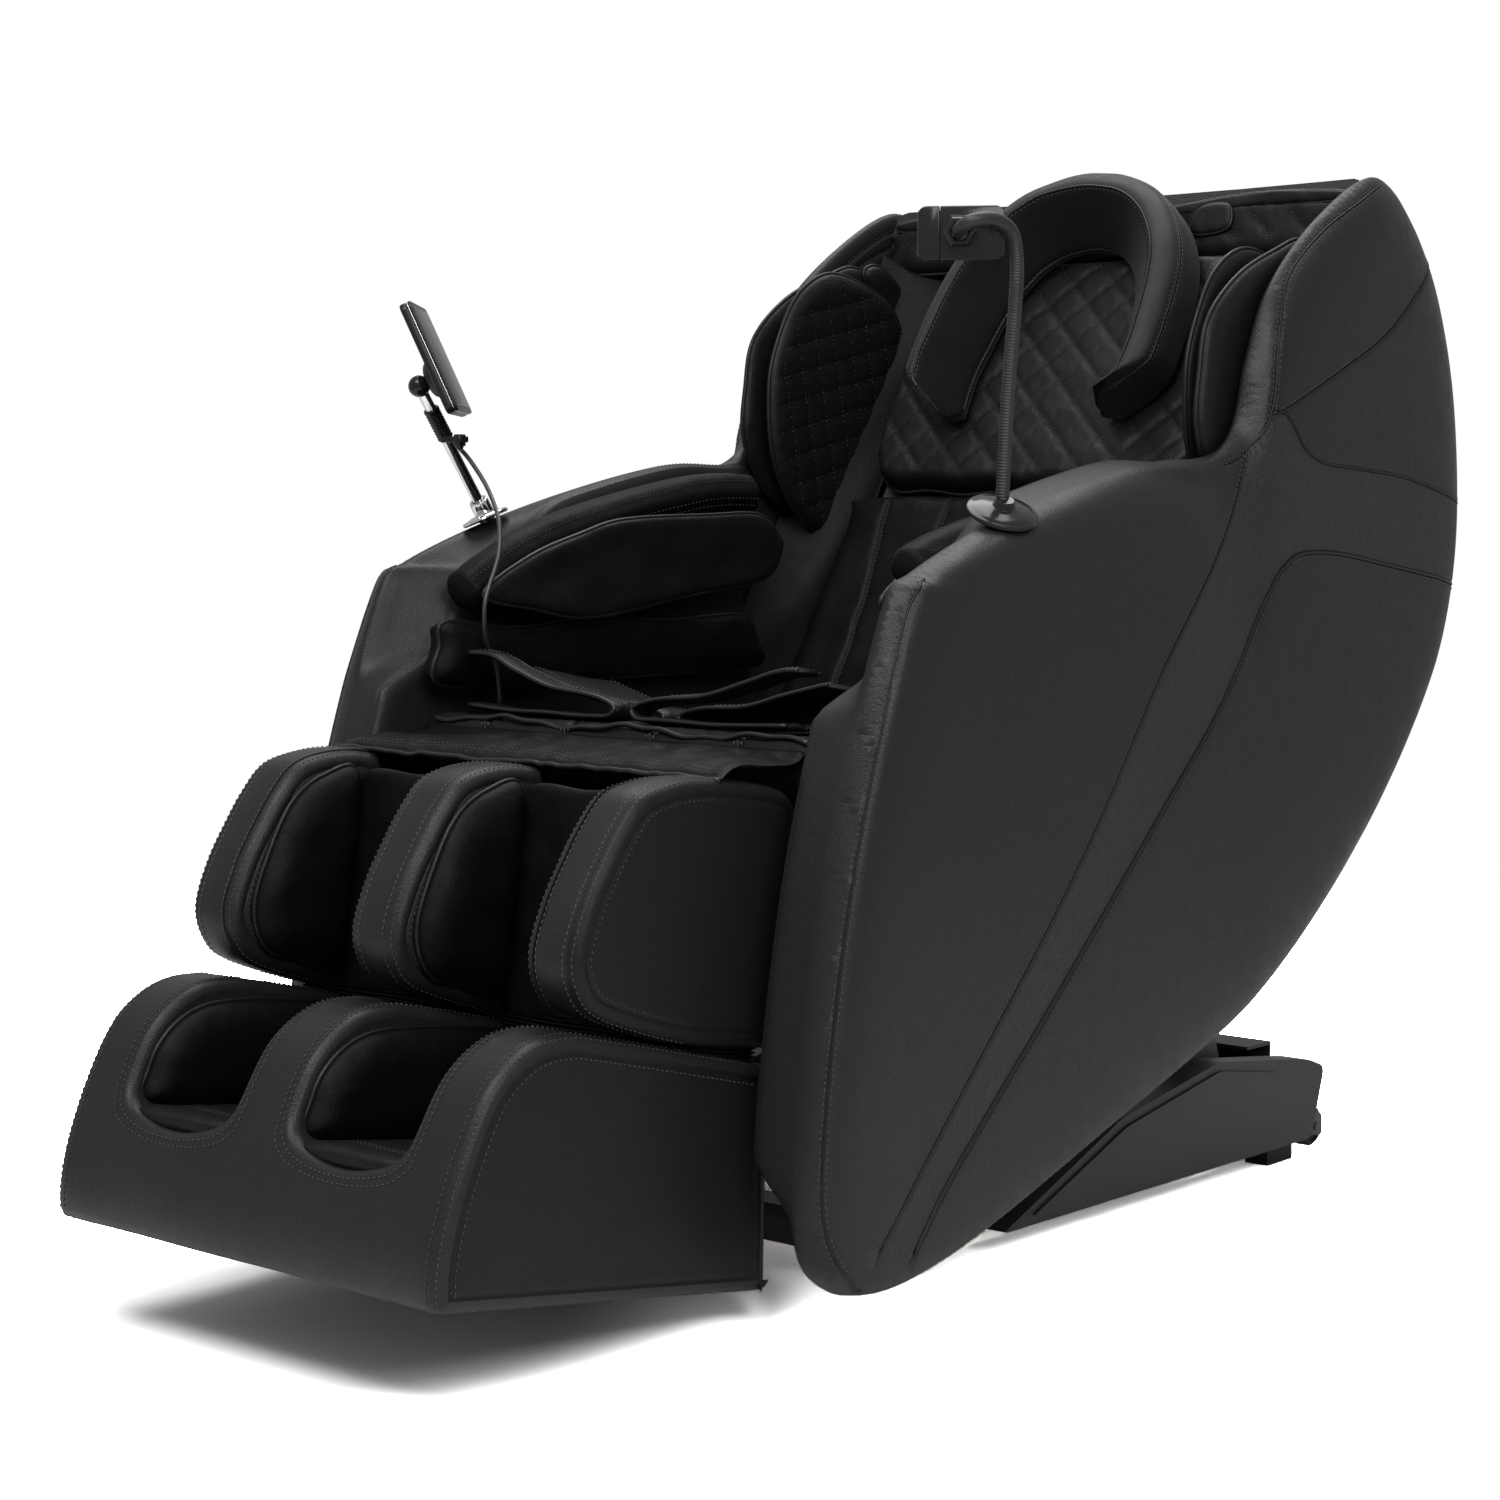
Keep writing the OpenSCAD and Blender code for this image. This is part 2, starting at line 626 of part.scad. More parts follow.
// flaps hanging from the rolls and the lower pads of the forearm pockets
module arm_pockets() {
  x1 = arm_x - 2 * roll_r - 2 * gap;
  pad_low = arm_top - seat_h - 20;
  color(charcoal) both_sides() {
    slab(x1 - 14, x1, soft_corners(under_arm([[-262, 150], [-99, 179], [199, 143], [232, 108], [190, 67],
                                              [-40, 71], [-190, 110]]), 24));
    slab(arm_x - 50, arm_x - gap, soft_corners(under_arm([[-300, pad_low], [-300, 177], [-190, 191],
                                                          [190, 187], [225, pad_low]]), 26));
  }
}

// plain piped pad on the wing and the quilted pad in front of it
module shoulder_pads() {
  slab(leaf_x - 30, leaf_x - gap, soft_corners([[266, 930], [300, 1000], [430, 1066], [520, 1076], [556, 990],
                                                [540, 860], [430, 775], [330, 770]], 40));
  slab(leaf_x - 62, leaf_x - 30 - gap, soft_corners([[292, 940], [335, 1020], [440, 1060], [520, 1050],
       [560, 985], [550, 870], [480, 790], [370, 745], [310, 775]], 40));
}

module shoulder_pads_left() { color(inner_black) shoulder_pads(); }
module shoulder_pads_right() { color(inner_black) mirror([1, 0, 0]) shoulder_pads(); }

// two folded wraps lying across the seat, higher towards the arms
module seat_wraps() {
  inner = [[12, gap], [12, 18], [24, 26], [110, 34]];
  color(charcoal) on_seat() both_sides() {
    translate([0, 46, 0]) rotate([90, 0, 0]) linear_extrude(34)
      polygon(concat(inner, [[200, 58], [226, 66], [240, 64], [240, gap]]));
    translate([0, 222, 0]) rotate([90, 0, 0]) linear_extrude(178)
      polygon(concat(inner, [[200, 58], [219, 60], [219, gap]]));
  }
}

// ---- massage carriage ----

module carriage_frame() {
  z0 = shaft_z - frame_half;
  z1 = shaft_z + frame_half;
  cheek = arm_pitch / 2 + 45;
  color(frame_grey) on_back() difference() {
    union() {
      block([-186, 186], [134, 142], [z0, z1]);
      for (s = [-1, 1]) {
        block(s > 0 ? [cheek, cheek + 8] : [-cheek - 8, -cheek], [shaft_y - 16, 135],
              [shaft_z - 26, shaft_z + 26]);
        for (z = [z0 + 10, z1 - 40])
          block(s > 0 ? [180, plate_x - gap] : [-plate_x + gap, -180], [103, 135], [z, z + 30]);
      }
      block([-20, 20], [141, 172], [shaft_z - 24, shaft_z + 24]);
      block([44, 134], [141, 196], [shaft_z - 40, shaft_z + 46]);
    }
    translate([0, screw_y, z0 - 5]) cylinder(h = z1 - z0 + 10, d = screw_d + 2 * gap);
    translate([0, shaft_y, shaft_z]) rod_x(-cheek - 20, cheek + 20, 16 + 2 * run_fit);
  }
}

module lead_screw() {
  color(steel) on_back() translate([0, screw_y, 0]) {
    translate([0, 0, carriage_low - 83]) cylinder(h = back_high + 1 - carriage_low + 83, d = screw_d);
    translate([0, 0, carriage_low - 91]) cylinder(h = 15.7, d = 26);
  }
}

module roller_arms() {
  cheek = arm_pitch / 2 + 45;
  color(charcoal) on_back() {
    for (s = [-1, 1]) translate([s * arm_pitch / 2, 0, 0]) difference() {
      hull() {
        translate([0, shaft_y, shaft_z]) rod_x(-6, 6, 40);
        for (t = [-1, 1]) translate([0, roller_y, shaft_z + t * roller_dz]) rod_x(-6, 6, 22);
      }
      for (t = [-1, 1]) translate([0, roller_y, shaft_z + t * roller_dz]) rod_x(-8, 8, 10 + 2 * run_fit);
    }
    translate([0, shaft_y, shaft_z]) rod_x(-cheek - 12, cheek + 12, 16);
  }
}

module roller_pair(t) {
  on_back() for (s = [-1, 1]) translate([s * arm_pitch / 2, roller_y, shaft_z + t * roller_dz]) {
    rod_x(-20, 20, 10);
    for (u = [-1, 1]) translate([u * 15, 0, 0]) rod_x(-7, 7, roller_d);
  }
}

module rollers_upper() { color(rubber) roller_pair(1); }
module rollers_lower() { color(rubber) roller_pair(-1); }

// ---- leg rest ----

trough_x0 = (leg_w / 2 - trough_w) / 3;      // half width of the middle wall
trough_x1 = trough_x0 + trough_w;
calf_profile = [[-66, -211], [-200, -190], [-230, -177], [-247, -139], [-236, -92], [-202, -16],
                [-179, 13], [-139, 29], [-90, 34], [-66, 20]];

// side skirt that runs on behind the outer walls, past the knee hinge
calf_skirt = [[-90, -207], [-110, 30], [-60, 38], [-10, 37], [12, 30], [20, 6], [20, -188], [8, -206]];

module calf_walls(x0, x1) {
  slab(x0, x1, soft_corners(calf_profile, 14, 3));
}

module calf_shell() {
  color(charcoal) on_leg() difference() {
    union() {
      calf_walls(-trough_x0, trough_x0);
      both_sides() calf_walls(trough_x1, leg_w / 2);
      both_sides() slab(plate_x + 8, leg_w / 2, soft_corners(calf_skirt, 12, 3));
      block([-leg_w / 2, leg_w / 2], [-104, -58], [-208, 18]);
      both_sides() hull() {
        block([plate_x - 2 * plate_t - 4, plate_x - plate_t - gap], [-64, -58], [-120, -10]);
        rod_x(plate_x - 2 * plate_t - 4, plate_x - plate_t - gap, 40);
      }
      for (s = [-1, 1]) translate([s * 16, 0, 0])
        slab(-3, 3, [[-59, -30], [leg_eye_local[0] + 12, leg_eye_local[1] + 14],
                     [leg_eye_local[0] + 12, leg_eye_local[1] - 14], [-59, -100]]);
    }
    both_sides() rod_x(plate_x - 3 * plate_t, plate_x, knee_d + 2 * run_fit);
    at_yz(leg_eye_local) rod_x(-40, 40, 10 + 2 * pin_clear);
  }
  color(steel) on_leg() at_yz(leg_eye_local) rod_x(-19, 19, 10);
}

module calf_pads() {
  color(inner_black) on_leg() both_sides() for (x = [trough_x0 + gap, trough_x1 - air_pad_t - gap])
    slab(x, x + air_pad_t, soft_corners([[-106, -186], [-205, -176], [-226, -130], [-190, -22],
                                         [-150, 8], [-106, 12]], 24, 3));
}

module leg_tubes() {
  color(steel) on_leg() both_sides() translate([120, -58 + leg_tube_d / 2 + gap, -208]) difference() {
    cylinder(h = foot_travel + 72, d = leg_tube_d);
    translate([0, 0, -1]) cylinder(h = foot_travel + 74, d = leg_tube_d - 4);
  }
}

sole_z = -332;
foot_low = 46 - knee[1];         // keeps the foot unit off the floor
foot_profile = [[62, foot_low], [-371, foot_low], [-374, -396], [-363, sole_z], [-339, -265],
                [-317, -233], [-282, -211], [-243, -203], [-207, -204], [30, -226]];

module foot_shell() {
  w = leg_w / 2;
  rod_y = -58 + leg_tube_d / 2 + gap;
  color(charcoal) on_leg() difference() {
    union() {
      slab(-w, w, soft_corners([[62, foot_low], [-371, foot_low], [-374, -396], [-363, sole_z],
                                [50, sole_z]], 10, 3));
      slab(-w, w, soft_corners([[50, sole_z - 20], [-76, sole_z - 20], [-76, -217], [30, -226]], 6, 3));
      slab(-trough_x0, trough_x0, soft_corners(foot_profile, 14, 3));
      both_sides() slab(trough_x1, w, soft_corners(foot_profile, 14, 3));
    }
    block([-195, 195], [-250, -170], [-425, sole_z + 1]);
    translate([0, -210, -388]) rod_x(-216, 216, 12 + 2 * run_fit);
    both_sides() translate([120, rod_y, -300]) cylinder(h = 120, d = leg_tube_d - 5 + 2 * pin_clear);
  }
}

module foot_pads() {
  color(inner_black) on_leg() both_sides() for (x = [trough_x0 + gap, trough_x1 - air_pad_t - gap])
    slab(x, x + air_pad_t, soft_corners([[-78, sole_z + 1], [-345, sole_z + 1], [-325, -270], [-270, -226],
                                         [-78, -224]], 24, 3));
}

module leg_rods() {
  rod_y = -58 + leg_tube_d / 2 + gap;
  color(steel) on_leg() both_sides() translate([120, rod_y, -300 + gap])
    cylinder(h = foot_travel + 130, d = leg_tube_d - 5);
}

module foot_rollers() {
  color(rubber) on_leg() translate([0, -210, -388]) {
    rod_x(-215, 215, 12);
    for (s = [-1, 1], x = [75, 120, 165]) translate([s * x, 0, 0]) rod_x(-13, 13, 52);
  }
}

module leg_motor_tube() {
  color(charcoal) at_yz(leg_foot) rotate([leg_angle - 90, 0, 0]) motor_tube(leg_len - 46, 12, 36);
  color(steel) at_yz(leg_foot) rod_x(-26, 26, 12);
}

module leg_rod() {
  color(steel) at_yz(leg_foot) rotate([leg_angle - 90, 0, 0]) difference() {
    union() {
      translate([0, 0, 66]) cylinder(h = leg_len - 66 - 8, d = 20);
      translate([0, 0, leg_len]) rod_x(-7, 7, 36);
    }
    translate([0, 0, leg_len]) rod_x(-12, 12, 10 + 14);
  }
}

// ---- phone holder ----

function in_clamp(p) = clamp_at + [p[0] * cos(clamp_turn) - p[1] * sin(clamp_turn),
                                   p[0] * sin(clamp_turn) + p[1] * cos(clamp_turn), p[2]];
neck_route = open_curve([disc_at + [1, -1, 6], disc_at + [4, -2, 50], disc_at + [12, -6, 130],
  in_clamp([53, 17, -66]), in_clamp([54, 14, -28]), in_clamp([49, 4, 0]), in_clamp([33, -16, 10]),
  in_clamp([13, -27, 8]), in_clamp([1, -19, 1]), in_clamp([0, -6, 0])], 3);

module phone_stand() {
  color(black) {
    translate(disc_at) rotate(disc_tilt) {
      cylinder(h = 5, d = disc_d);
      translate([0, 0, 4.9]) cylinder(h = 4, d1 = disc_d - 12, d2 = 26);
    }
    swept(neck_route, neck_d / 2, neck_d / 2, 10, [1, 0, 0]);
    translate(clamp_at) sphere(d = ball_d);
  }
}

module at_clamp() {
  translate(clamp_at) rotate([0, 0, clamp_turn]) children();
}

module phone_clamp() {
  color(black) at_clamp() difference() {
    union() {
      block([22 - clamp_w / 2, clamp_w / 2], [12, 19], [-clamp_half_h, clamp_half_h]);
      block([clamp_w / 2 - 5, clamp_w / 2], [12, 34], [-clamp_half_h, clamp_half_h]);
      translate([0, 13, 0]) rotate([90, 0, 0]) cylinder(h = 18, d = ball_d + 12, $fn = 6);
    }
    sphere(d = ball_d + 2 * gap);
    rotate([90, 0, 0]) cylinder(h = 20, d1 = ball_d - 5, d2 = ball_d + 11);
  }
}

module phone_jaw() {
  color(black) at_clamp() {
    block([-clamp_w / 2, 22 - clamp_w / 2 - gap], [12, 19], [-clamp_half_h, clamp_half_h]);
    block([-clamp_w / 2, 5 - clamp_w / 2], [12, 34], [-clamp_half_h, clamp_half_h]);
  }
}

// ---- tablet stand ----

module at_pole() {
  translate(pole_foot) rotate([pole_lean, 0, 0]) children();
}

module tablet_base() {
  color(black) difference() {
    union() {
      translate(pole_base) rotate([15, -18, 0]) scale([0.75, 1, 1]) cylinder(h = 5, d = 62);
      at_pole() translate([0, 0, -13]) cylinder(h = 25, d = pole_d + 10);
    }
    at_pole() translate([0, 0, -3]) cylinder(h = 30, d = pole_d + 2 * run_fit);
  }
}

module tablet_pole() {
  color(steel) at_pole() translate([0, 0, -3 + gap]) cylinder(h = pole_len + 3, d = pole_d);
  color(black) at_pole() {
    translate([0, 0, pole_len * 0.6]) cylinder(h = pole_len * 0.22, d = pole_d + 6);
    translate([0, 0, pole_len]) sphere(d = 24);
  }
  // plug of the cord on its arm
  color(black) translate(plug_at) {
    block([-5, 5], [-4, 8], [-8, 5]);
    block([-34, 3], [4, 13], [-4, 3]);
  }
}

tablet_at = pole_foot + [0, -pole_len * sin(pole_lean), pole_len * cos(pole_lean)];
plug_at = pole_foot + [34, -68, 77];

module tablet() {
  color(black) translate(tablet_at) rotate([0, 0, tablet_turn]) rotate([tablet_tilt, 0, 0])
    difference() {
      union() {
        translate([-tablet_w / 2, 22, -tablet_h * 0.36]) cube([tablet_w, tablet_t, tablet_h]);
        translate([0, 9.8, 0]) rotate([-90, 0, 0]) cylinder(h = 12.7, d1 = 22, d2 = 44);
      }
      sphere(d = 24 + 2 * gap);
    }
}

cord_route = [
  plug_at + [0, 2, -10.5], plug_at + [2, 15, -23], [-288, -206, 812], [-262, -216, 786],
  [-243, -228, 765], [-232, -241, 733], [-224.6, -267, 691], [-226, -268, 663],
  [-233, -258, 639], [-236, -246, 627], [-236, -239, 605], [-236, -236, 570]];

module tablet_cord() {
  color(rubber) swept(open_curve(cord_route, 3), cord_d / 2, cord_d / 2, 8, [1, 0, 0]);
}

base_rails();
base_crossbars();
base_feet();
base_cover_left();
base_cover_right();
base_cover_rear();
pivot_brackets();
pivot_pins();
power_inlet();
power_switch();
control_box();
air_pump();
wheel_forks();
transport_wheel_left();
transport_wheel_right();
recline_motor_tube();
recline_rod();
side_shell_left();
side_shell_right();
rear_shell();
arm_body_left();
arm_body_right();
seat_side_plates();
seat_cross_tubes();
seat_board();
knee_pins();
back_rails();
back_crossbars();
seat_cushion();
knee_apron();
back_pad_lower();
back_pad_quilted();
hood_liner();
head_pillow();
arm_rolls();
arm_pockets();
shoulder_pads_left();
shoulder_pads_right();
seat_wraps();
carriage_frame();
lead_screw();
roller_arms();
rollers_upper();
rollers_lower();
calf_shell();
calf_pads();
leg_tubes();
foot_shell();
foot_pads();
leg_rods();
foot_rollers();
leg_motor_tube();
leg_rod();
phone_stand();
phone_clamp();
phone_jaw();
tablet_base();
tablet_pole();
tablet();
tablet_cord();
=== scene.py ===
import bpy, bmesh, math
import numpy as np
from mathutils import Vector, Matrix, noise
from mathutils.geometry import delaunay_2d_cdt


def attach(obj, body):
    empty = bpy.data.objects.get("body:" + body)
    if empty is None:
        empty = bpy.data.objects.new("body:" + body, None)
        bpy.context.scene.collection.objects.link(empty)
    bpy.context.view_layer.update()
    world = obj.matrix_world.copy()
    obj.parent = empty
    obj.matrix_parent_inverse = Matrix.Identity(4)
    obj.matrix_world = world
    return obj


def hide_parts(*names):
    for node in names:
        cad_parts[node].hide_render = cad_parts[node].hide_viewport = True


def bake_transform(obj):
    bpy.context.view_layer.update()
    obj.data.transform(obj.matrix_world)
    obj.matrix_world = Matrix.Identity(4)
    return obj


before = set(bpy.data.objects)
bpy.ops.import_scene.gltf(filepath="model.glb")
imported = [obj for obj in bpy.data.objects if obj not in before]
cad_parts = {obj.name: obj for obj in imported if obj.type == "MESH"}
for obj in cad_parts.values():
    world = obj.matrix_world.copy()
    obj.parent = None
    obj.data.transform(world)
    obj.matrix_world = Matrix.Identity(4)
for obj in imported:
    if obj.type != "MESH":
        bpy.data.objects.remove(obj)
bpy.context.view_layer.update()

# ---- camera, floor and lights ----
# One camera at standing height ahead of the chair's left, a pale studio floor that fades into
# a white surround, with a painted shadow darkening it round the foot rest, and three large soft lamps.
camera_data = bpy.data.cameras.new("camera")
camera = bpy.data.objects.new("camera", camera_data)
bpy.context.collection.objects.link(camera)
camera.location = (2.110, -2.5037, 0.808)
camera.rotation_euler = (math.radians(85.0), 0, math.radians(41.2))
camera_data.lens = 72.0
camera_data.sensor_width = 36.0
bpy.context.scene.camera = camera
bpy.context.scene.view_settings.view_transform = "Standard"


def add_node(tree, kind, links=(), **values):
    node = tree.nodes.new(kind)
    for key, value in values.items():
        if key.startswith("in_"):
            node.inputs[int(key[3:]) if key[3:].isdigit() else key[3:].replace("_", " ")].default_value = value
        else:
            setattr(node, key, value)
    for socket, source in links:
        tree.links.new(source, node.inputs[socket])
    return node


world = bpy.data.worlds.new("studio")
bpy.context.scene.world = world
world.use_nodes = True
tree = world.node_tree
tree.nodes.clear()
path = add_node(tree, "ShaderNodeLightPath")
seen = add_node(tree, "ShaderNodeMath", [(0, path.outputs["Is Camera Ray"]), (1, path.outputs["Is Transmission Ray"])],
                operation="MAXIMUM")
plain = add_node(tree, "ShaderNodeBackground", in_Color=(1, 1, 1, 1), in_Strength=0.24)
white = add_node(tree, "ShaderNodeBackground", in_Color=(1, 1, 1, 1), in_Strength=1.0)
soft = add_node(tree, "ShaderNodeBackground", in_Color=(1, 1, 1, 1), in_Strength=0.5)
shiny = add_node(tree, "ShaderNodeMixShader", [(0, path.outputs["Is Glossy Ray"]), (1, plain.outputs[0]),
                                               (2, soft.outputs[0])])
mixed = add_node(tree, "ShaderNodeMixShader", [(0, seen.outputs[0]), (1, shiny.outputs[0]), (2, white.outputs[0])])
add_node(tree, "ShaderNodeOutputWorld", [("Surface", mixed.outputs[0])])

bpy.ops.object.select_all(action="DESELECT")
bpy.ops.mesh.primitive_circle_add(vertices=64, radius=9.0, fill_type="NGON", location=(0, 0, 0))
floor = bpy.context.object
floor.name = "floor"
floor_material = bpy.data.materials.new("floor_paper")
floor_material.use_nodes = True
tree = floor_material.node_tree
tree.nodes.clear()
where = add_node(tree, "ShaderNodeTexCoord")
middle = add_node(tree, "ShaderNodeVectorMath", [(0, where.outputs["Object"])], operation="LENGTH")
fade = add_node(tree, "ShaderNodeMapRange", [("Value", middle.outputs["Value"])], in_From_Min=1.5, in_From_Max=3.2,
                interpolation_type="SMOOTHSTEP")
paper = add_node(tree, "ShaderNodeBsdfDiffuse", in_Color=(0.9, 0.9, 0.9, 1))
# floor colour for camera rays: low near the foot rest and very high beyond, so the lit floor clips to white while a
# painted shadow deepens the cast one under the foot rest
around = add_node(tree, "ShaderNodeVectorMath", [(0, where.outputs["Object"])], operation="DISTANCE")
shadow_middle = (-0.09, -0.61, 0)
around.inputs[1].default_value = shadow_middle
lift = add_node(tree, "ShaderNodeMapRange", [("Value", around.outputs["Value"])], in_From_Min=0.22, in_From_Max=0.52,
                in_To_Min=1.6, in_To_Max=16.0, interpolation_type="SMOOTHSTEP")
floor_with_painted_shadow = add_node(tree, "ShaderNodeBsdfDiffuse", [("Color", lift.outputs[0])])
path = add_node(tree, "ShaderNodeLightPath")
shown = add_node(tree, "ShaderNodeMixShader", [(0, path.outputs["Is Camera Ray"]), (1, paper.outputs[0]),
                                               (2, floor_with_painted_shadow.outputs[0])])
clear = add_node(tree, "ShaderNodeBsdfTransparent")
edge = add_node(tree, "ShaderNodeMixShader", [(0, fade.outputs[0]), (1, shown.outputs[0]), (2, clear.outputs[0])])
add_node(tree, "ShaderNodeOutputMaterial", [("Surface", edge.outputs[0])])
floor.data.materials.append(floor_material)


def lamp(name, place, aim, size, power):
    data = bpy.data.lights.new(name, "AREA")
    data.shape = "RECTANGLE"
    data.size, data.size_y = size
    data.energy = power
    light = bpy.data.objects.new(name, data)
    bpy.context.collection.objects.link(light)
    light.location = place
    light.rotation_euler = (Vector(aim) - Vector(place)).to_track_quat("-Z", "Y").to_euler()


lamp("key_lamp", (0.6, -2.2, 3.4), (0.0, 0.0, 0.5), (2.2, 1.8), 114)
lamp("side_lamp", (2.3, -1.5, 1.9), (0.35, -0.1, 0.6), (1.3, 1.3), 38)
lamp("top_lamp", (-0.6, 0.9, 3.6), (0.0, 0.0, 0.6), (2.4, 2.4), 84)

# ---- tablet cord ----
# A thin flexible lead, 5 mm across, from the tablet's plug over the right arm and down inside
# it to the seat. Moulded PVC, limp; it hangs from the plug and lies on the arm.


def curve(points, n, closed=False):
    # smooth curve through the points, n steps to each span
    p = [np.array(q, float) for q in points]
    m = len(p)
    out = []
    for i in range(m if closed else m - 1):
        if closed:
            a, b, c, d = p[(i - 1) % m], p[i], p[(i + 1) % m], p[(i + 2) % m]
        else:
            a, b, c, d = p[max(i - 1, 0)], p[i], p[i + 1], p[min(i + 2, m - 1)]
        for k in range(n):
            t = k / n
            out.append(0.5 * (2 * b + (c - a) * t + (2 * a - 5 * b + 4 * c - d) * t * t +
                              (3 * b - a - 3 * c + d) * t ** 3))
    if not closed:
        out.append(p[-1])
    return np.array(out)


def looped(points):
    # a line closed by its own first point
    p = np.asarray(points, float)
    return np.vstack([p, p[:1]])


def evenly(points, step, closed=False):
    # the same line with its points a step apart
    p = looped(points) if closed else np.asarray(points, float)
    run = np.concatenate([[0], np.cumsum(np.linalg.norm(np.diff(p, axis=0), axis=1))])
    n = max(2, int(round(run[-1] / step)))
    at = np.linspace(0, run[-1], n + 1)
    if closed:
        at = at[:-1]
    return np.stack([np.interp(at, run, p[:, k]) for k in range(p.shape[1])], axis=1)


def unit(vectors):
    return vectors / np.maximum(np.linalg.norm(vectors, axis=-1)[..., None], 1e-9)


def along(line, closed=False):
    # unit vectors down a line
    return unit(np.roll(line, -1, 0) - np.roll(line, 1, 0) if closed else np.gradient(line, axis=0))


def beside(line, closed=False):
    # unit vectors square to a flat line
    t = along(line, closed)
    return np.stack([-t[:, 1], t[:, 0]], axis=1)


def quads(rings, around, closed=False):
    # faces between neighbouring rings of a closed section
    return [(i * around + k, i * around + (k + 1) % around, (i + 1) % rings * around + (k + 1) % around,
             (i + 1) % rings * around + k) for i in range(rings if closed else rings - 1) for k in range(around)]


def caps(rings, around):
    # fans that close both ends about two middle points listed after the rings
    last = (rings - 1) * around
    return [(last + around, (k + 1) % around, k) for k in range(around)] + \
           [(last + around + 1, last + k, last + (k + 1) % around) for k in range(around)]


def arc(radius, degrees, across=0.0, along=0.0):
    return [(across + radius * math.cos(math.radians(a)), along + radius * math.sin(math.radians(a))) for a in degrees]


class Shape:
    # vertices in millimetres and faces with a material number, built up piece by piece
    def __init__(self):
        self.v, self.f, self.m = [], [], []

    def put(self, verts):
        # new vertices; gives the number of the first
        self.v.extend([tuple(q) for q in verts])
        return len(self.v) - len(verts)

    def add(self, verts, faces, material=0):
        start = self.put(verts)
        self.f.extend([tuple(start + i for i in q) for q in faces])
        self.m.extend([material] * len(faces) if isinstance(material, int) else list(material))

    def bridge(self, starts, around):
        # bands between closed rows of vertices that begin at these numbers
        for a, b in zip(starts[:-1], starts[1:]):
            self.f += [(a + k, a + (k + 1) % around, b + (k + 1) % around, b + k) for k in range(around)]
            self.m += [0] * around

    def slab(self, front, back, cols, turn_over=False):
        # a thin sheet: two grids of vertices joined round their edge
        n, rows = len(front), len(front) // cols
        grid = [(i + j, i + j + 1, i + cols + j + 1, i + cols + j) for i in range(0, n - cols, cols)
                for j in range(cols - 1)]
        ring = list(range(cols)) + [i * cols + cols - 1 for i in range(1, rows)]
        ring += [n - cols + j for j in range(cols - 2, -1, -1)] + [i * cols for i in range(rows - 2, 0, -1)]
        faces = grid + [tuple(n + q for q in reversed(f)) for f in grid]
        faces += [(a, n + a, n + b, b) for a, b in zip(ring, ring[1:] + ring[:1])]
        self.add(np.vstack([front, back]), [f[::-1] for f in faces] if turn_over else faces)

    def tube(self, route, radius, sides=8, closed=False, material=0, taper=None, up=(0, 0, 1)):
        p = np.asarray(route, float)
        n = len(p)
        t = along(p, closed)
        side = np.cross(t[0], up)
        if np.linalg.norm(side) < 0.1:
            side = np.cross(t[0], (1, 0, 0))
        verts = []
        for i in range(n):
            side = side - t[i] * (side @ t[i])
            side /= np.linalg.norm(side)
            other = np.cross(t[i], side)
            r = radius * (taper[i] if taper is not None else 1)
            for k in range(sides):
                a = 2 * math.pi * k / sides
                verts.append(p[i] + r * (math.cos(a) * side + math.sin(a) * other))
        faces = quads(n, sides, closed)
        if not closed:
            verts += [p[0], p[-1]]
            faces += caps(n, sides)
        self.add(verts, faces, material)

    def stitches(self, points, normals, material=0, length=4.6, pitch=6.4, radius=0.75):
        # short raised threads along a line that lies on a surface
        p = np.asarray(points, float)
        q = np.asarray(normals, float)
        run = np.concatenate([[0], np.cumsum(np.linalg.norm(np.diff(p, axis=0), axis=1))])
        for s in np.arange(pitch / 2, run[-1] - pitch / 2, pitch):
            at = [np.array([np.interp(s + e, run, p[:, k]) for k in range(3)]) for e in (-length / 2, 0, length / 2)]
            n = np.array([np.interp(s, run, q[:, k]) for k in range(3)])
            n /= np.linalg.norm(n)
            side = np.cross(at[2] - at[0], n)
            side *= radius / max(np.linalg.norm(side), 1e-9)
            lift = n * radius
            self.add([at[0] - lift * 0.3, at[1] + side + lift * 0.2, at[1] + lift * 1.2, at[1] - side + lift * 0.2,
                      at[2] - lift * 0.3], [(0, 1, 2), (0, 2, 3), (4, 2, 1), (4, 3, 2), (0, 3, 4, 1)], material)

    def build(self, name, materials, body="cradle", angle=None, mirror=False, outward=False):
        verts = [(-q[0] / 1000 if mirror else q[0] / 1000, q[1] / 1000, q[2] / 1000) for q in self.v]
        faces = [tuple(reversed(q)) if mirror else q for q in self.f]
        mesh = bpy.data.meshes.new(name)
        mesh.from_pydata(verts, [], faces)
        mesh.update()
        if outward:
            tidy = bmesh.new()
            tidy.from_mesh(mesh)
            bmesh.ops.recalc_face_normals(tidy, faces=tidy.faces)
            tidy.to_mesh(mesh)
            tidy.free()
        for material in materials:
            mesh.materials.append(material)
        for polygon, number in zip(mesh.polygons, self.m):
            polygon.material_index = number
        piece = bpy.data.objects.new(name, mesh)
        bpy.context.collection.objects.link(piece)
        bpy.ops.object.select_all(action="DESELECT")
        piece.select_set(True)
        bpy.context.view_layer.objects.active = piece
        if angle is None:
            bpy.ops.object.shade_smooth()
        else:
            bpy.ops.object.shade_smooth_by_angle(angle=math.radians(angle))
        if body:
            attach(piece, body)
        return piece


def principled(name, **values):
    # a new material with these inputs of its surface set
    material = bpy.data.materials.new(name)
    material.use_nodes = True
    shader = material.node_tree.nodes["Principled BSDF"]
    for key, value in values.items():
        shader.inputs[key.replace("_", " ")].default_value = value
    return material, material.node_tree, shader


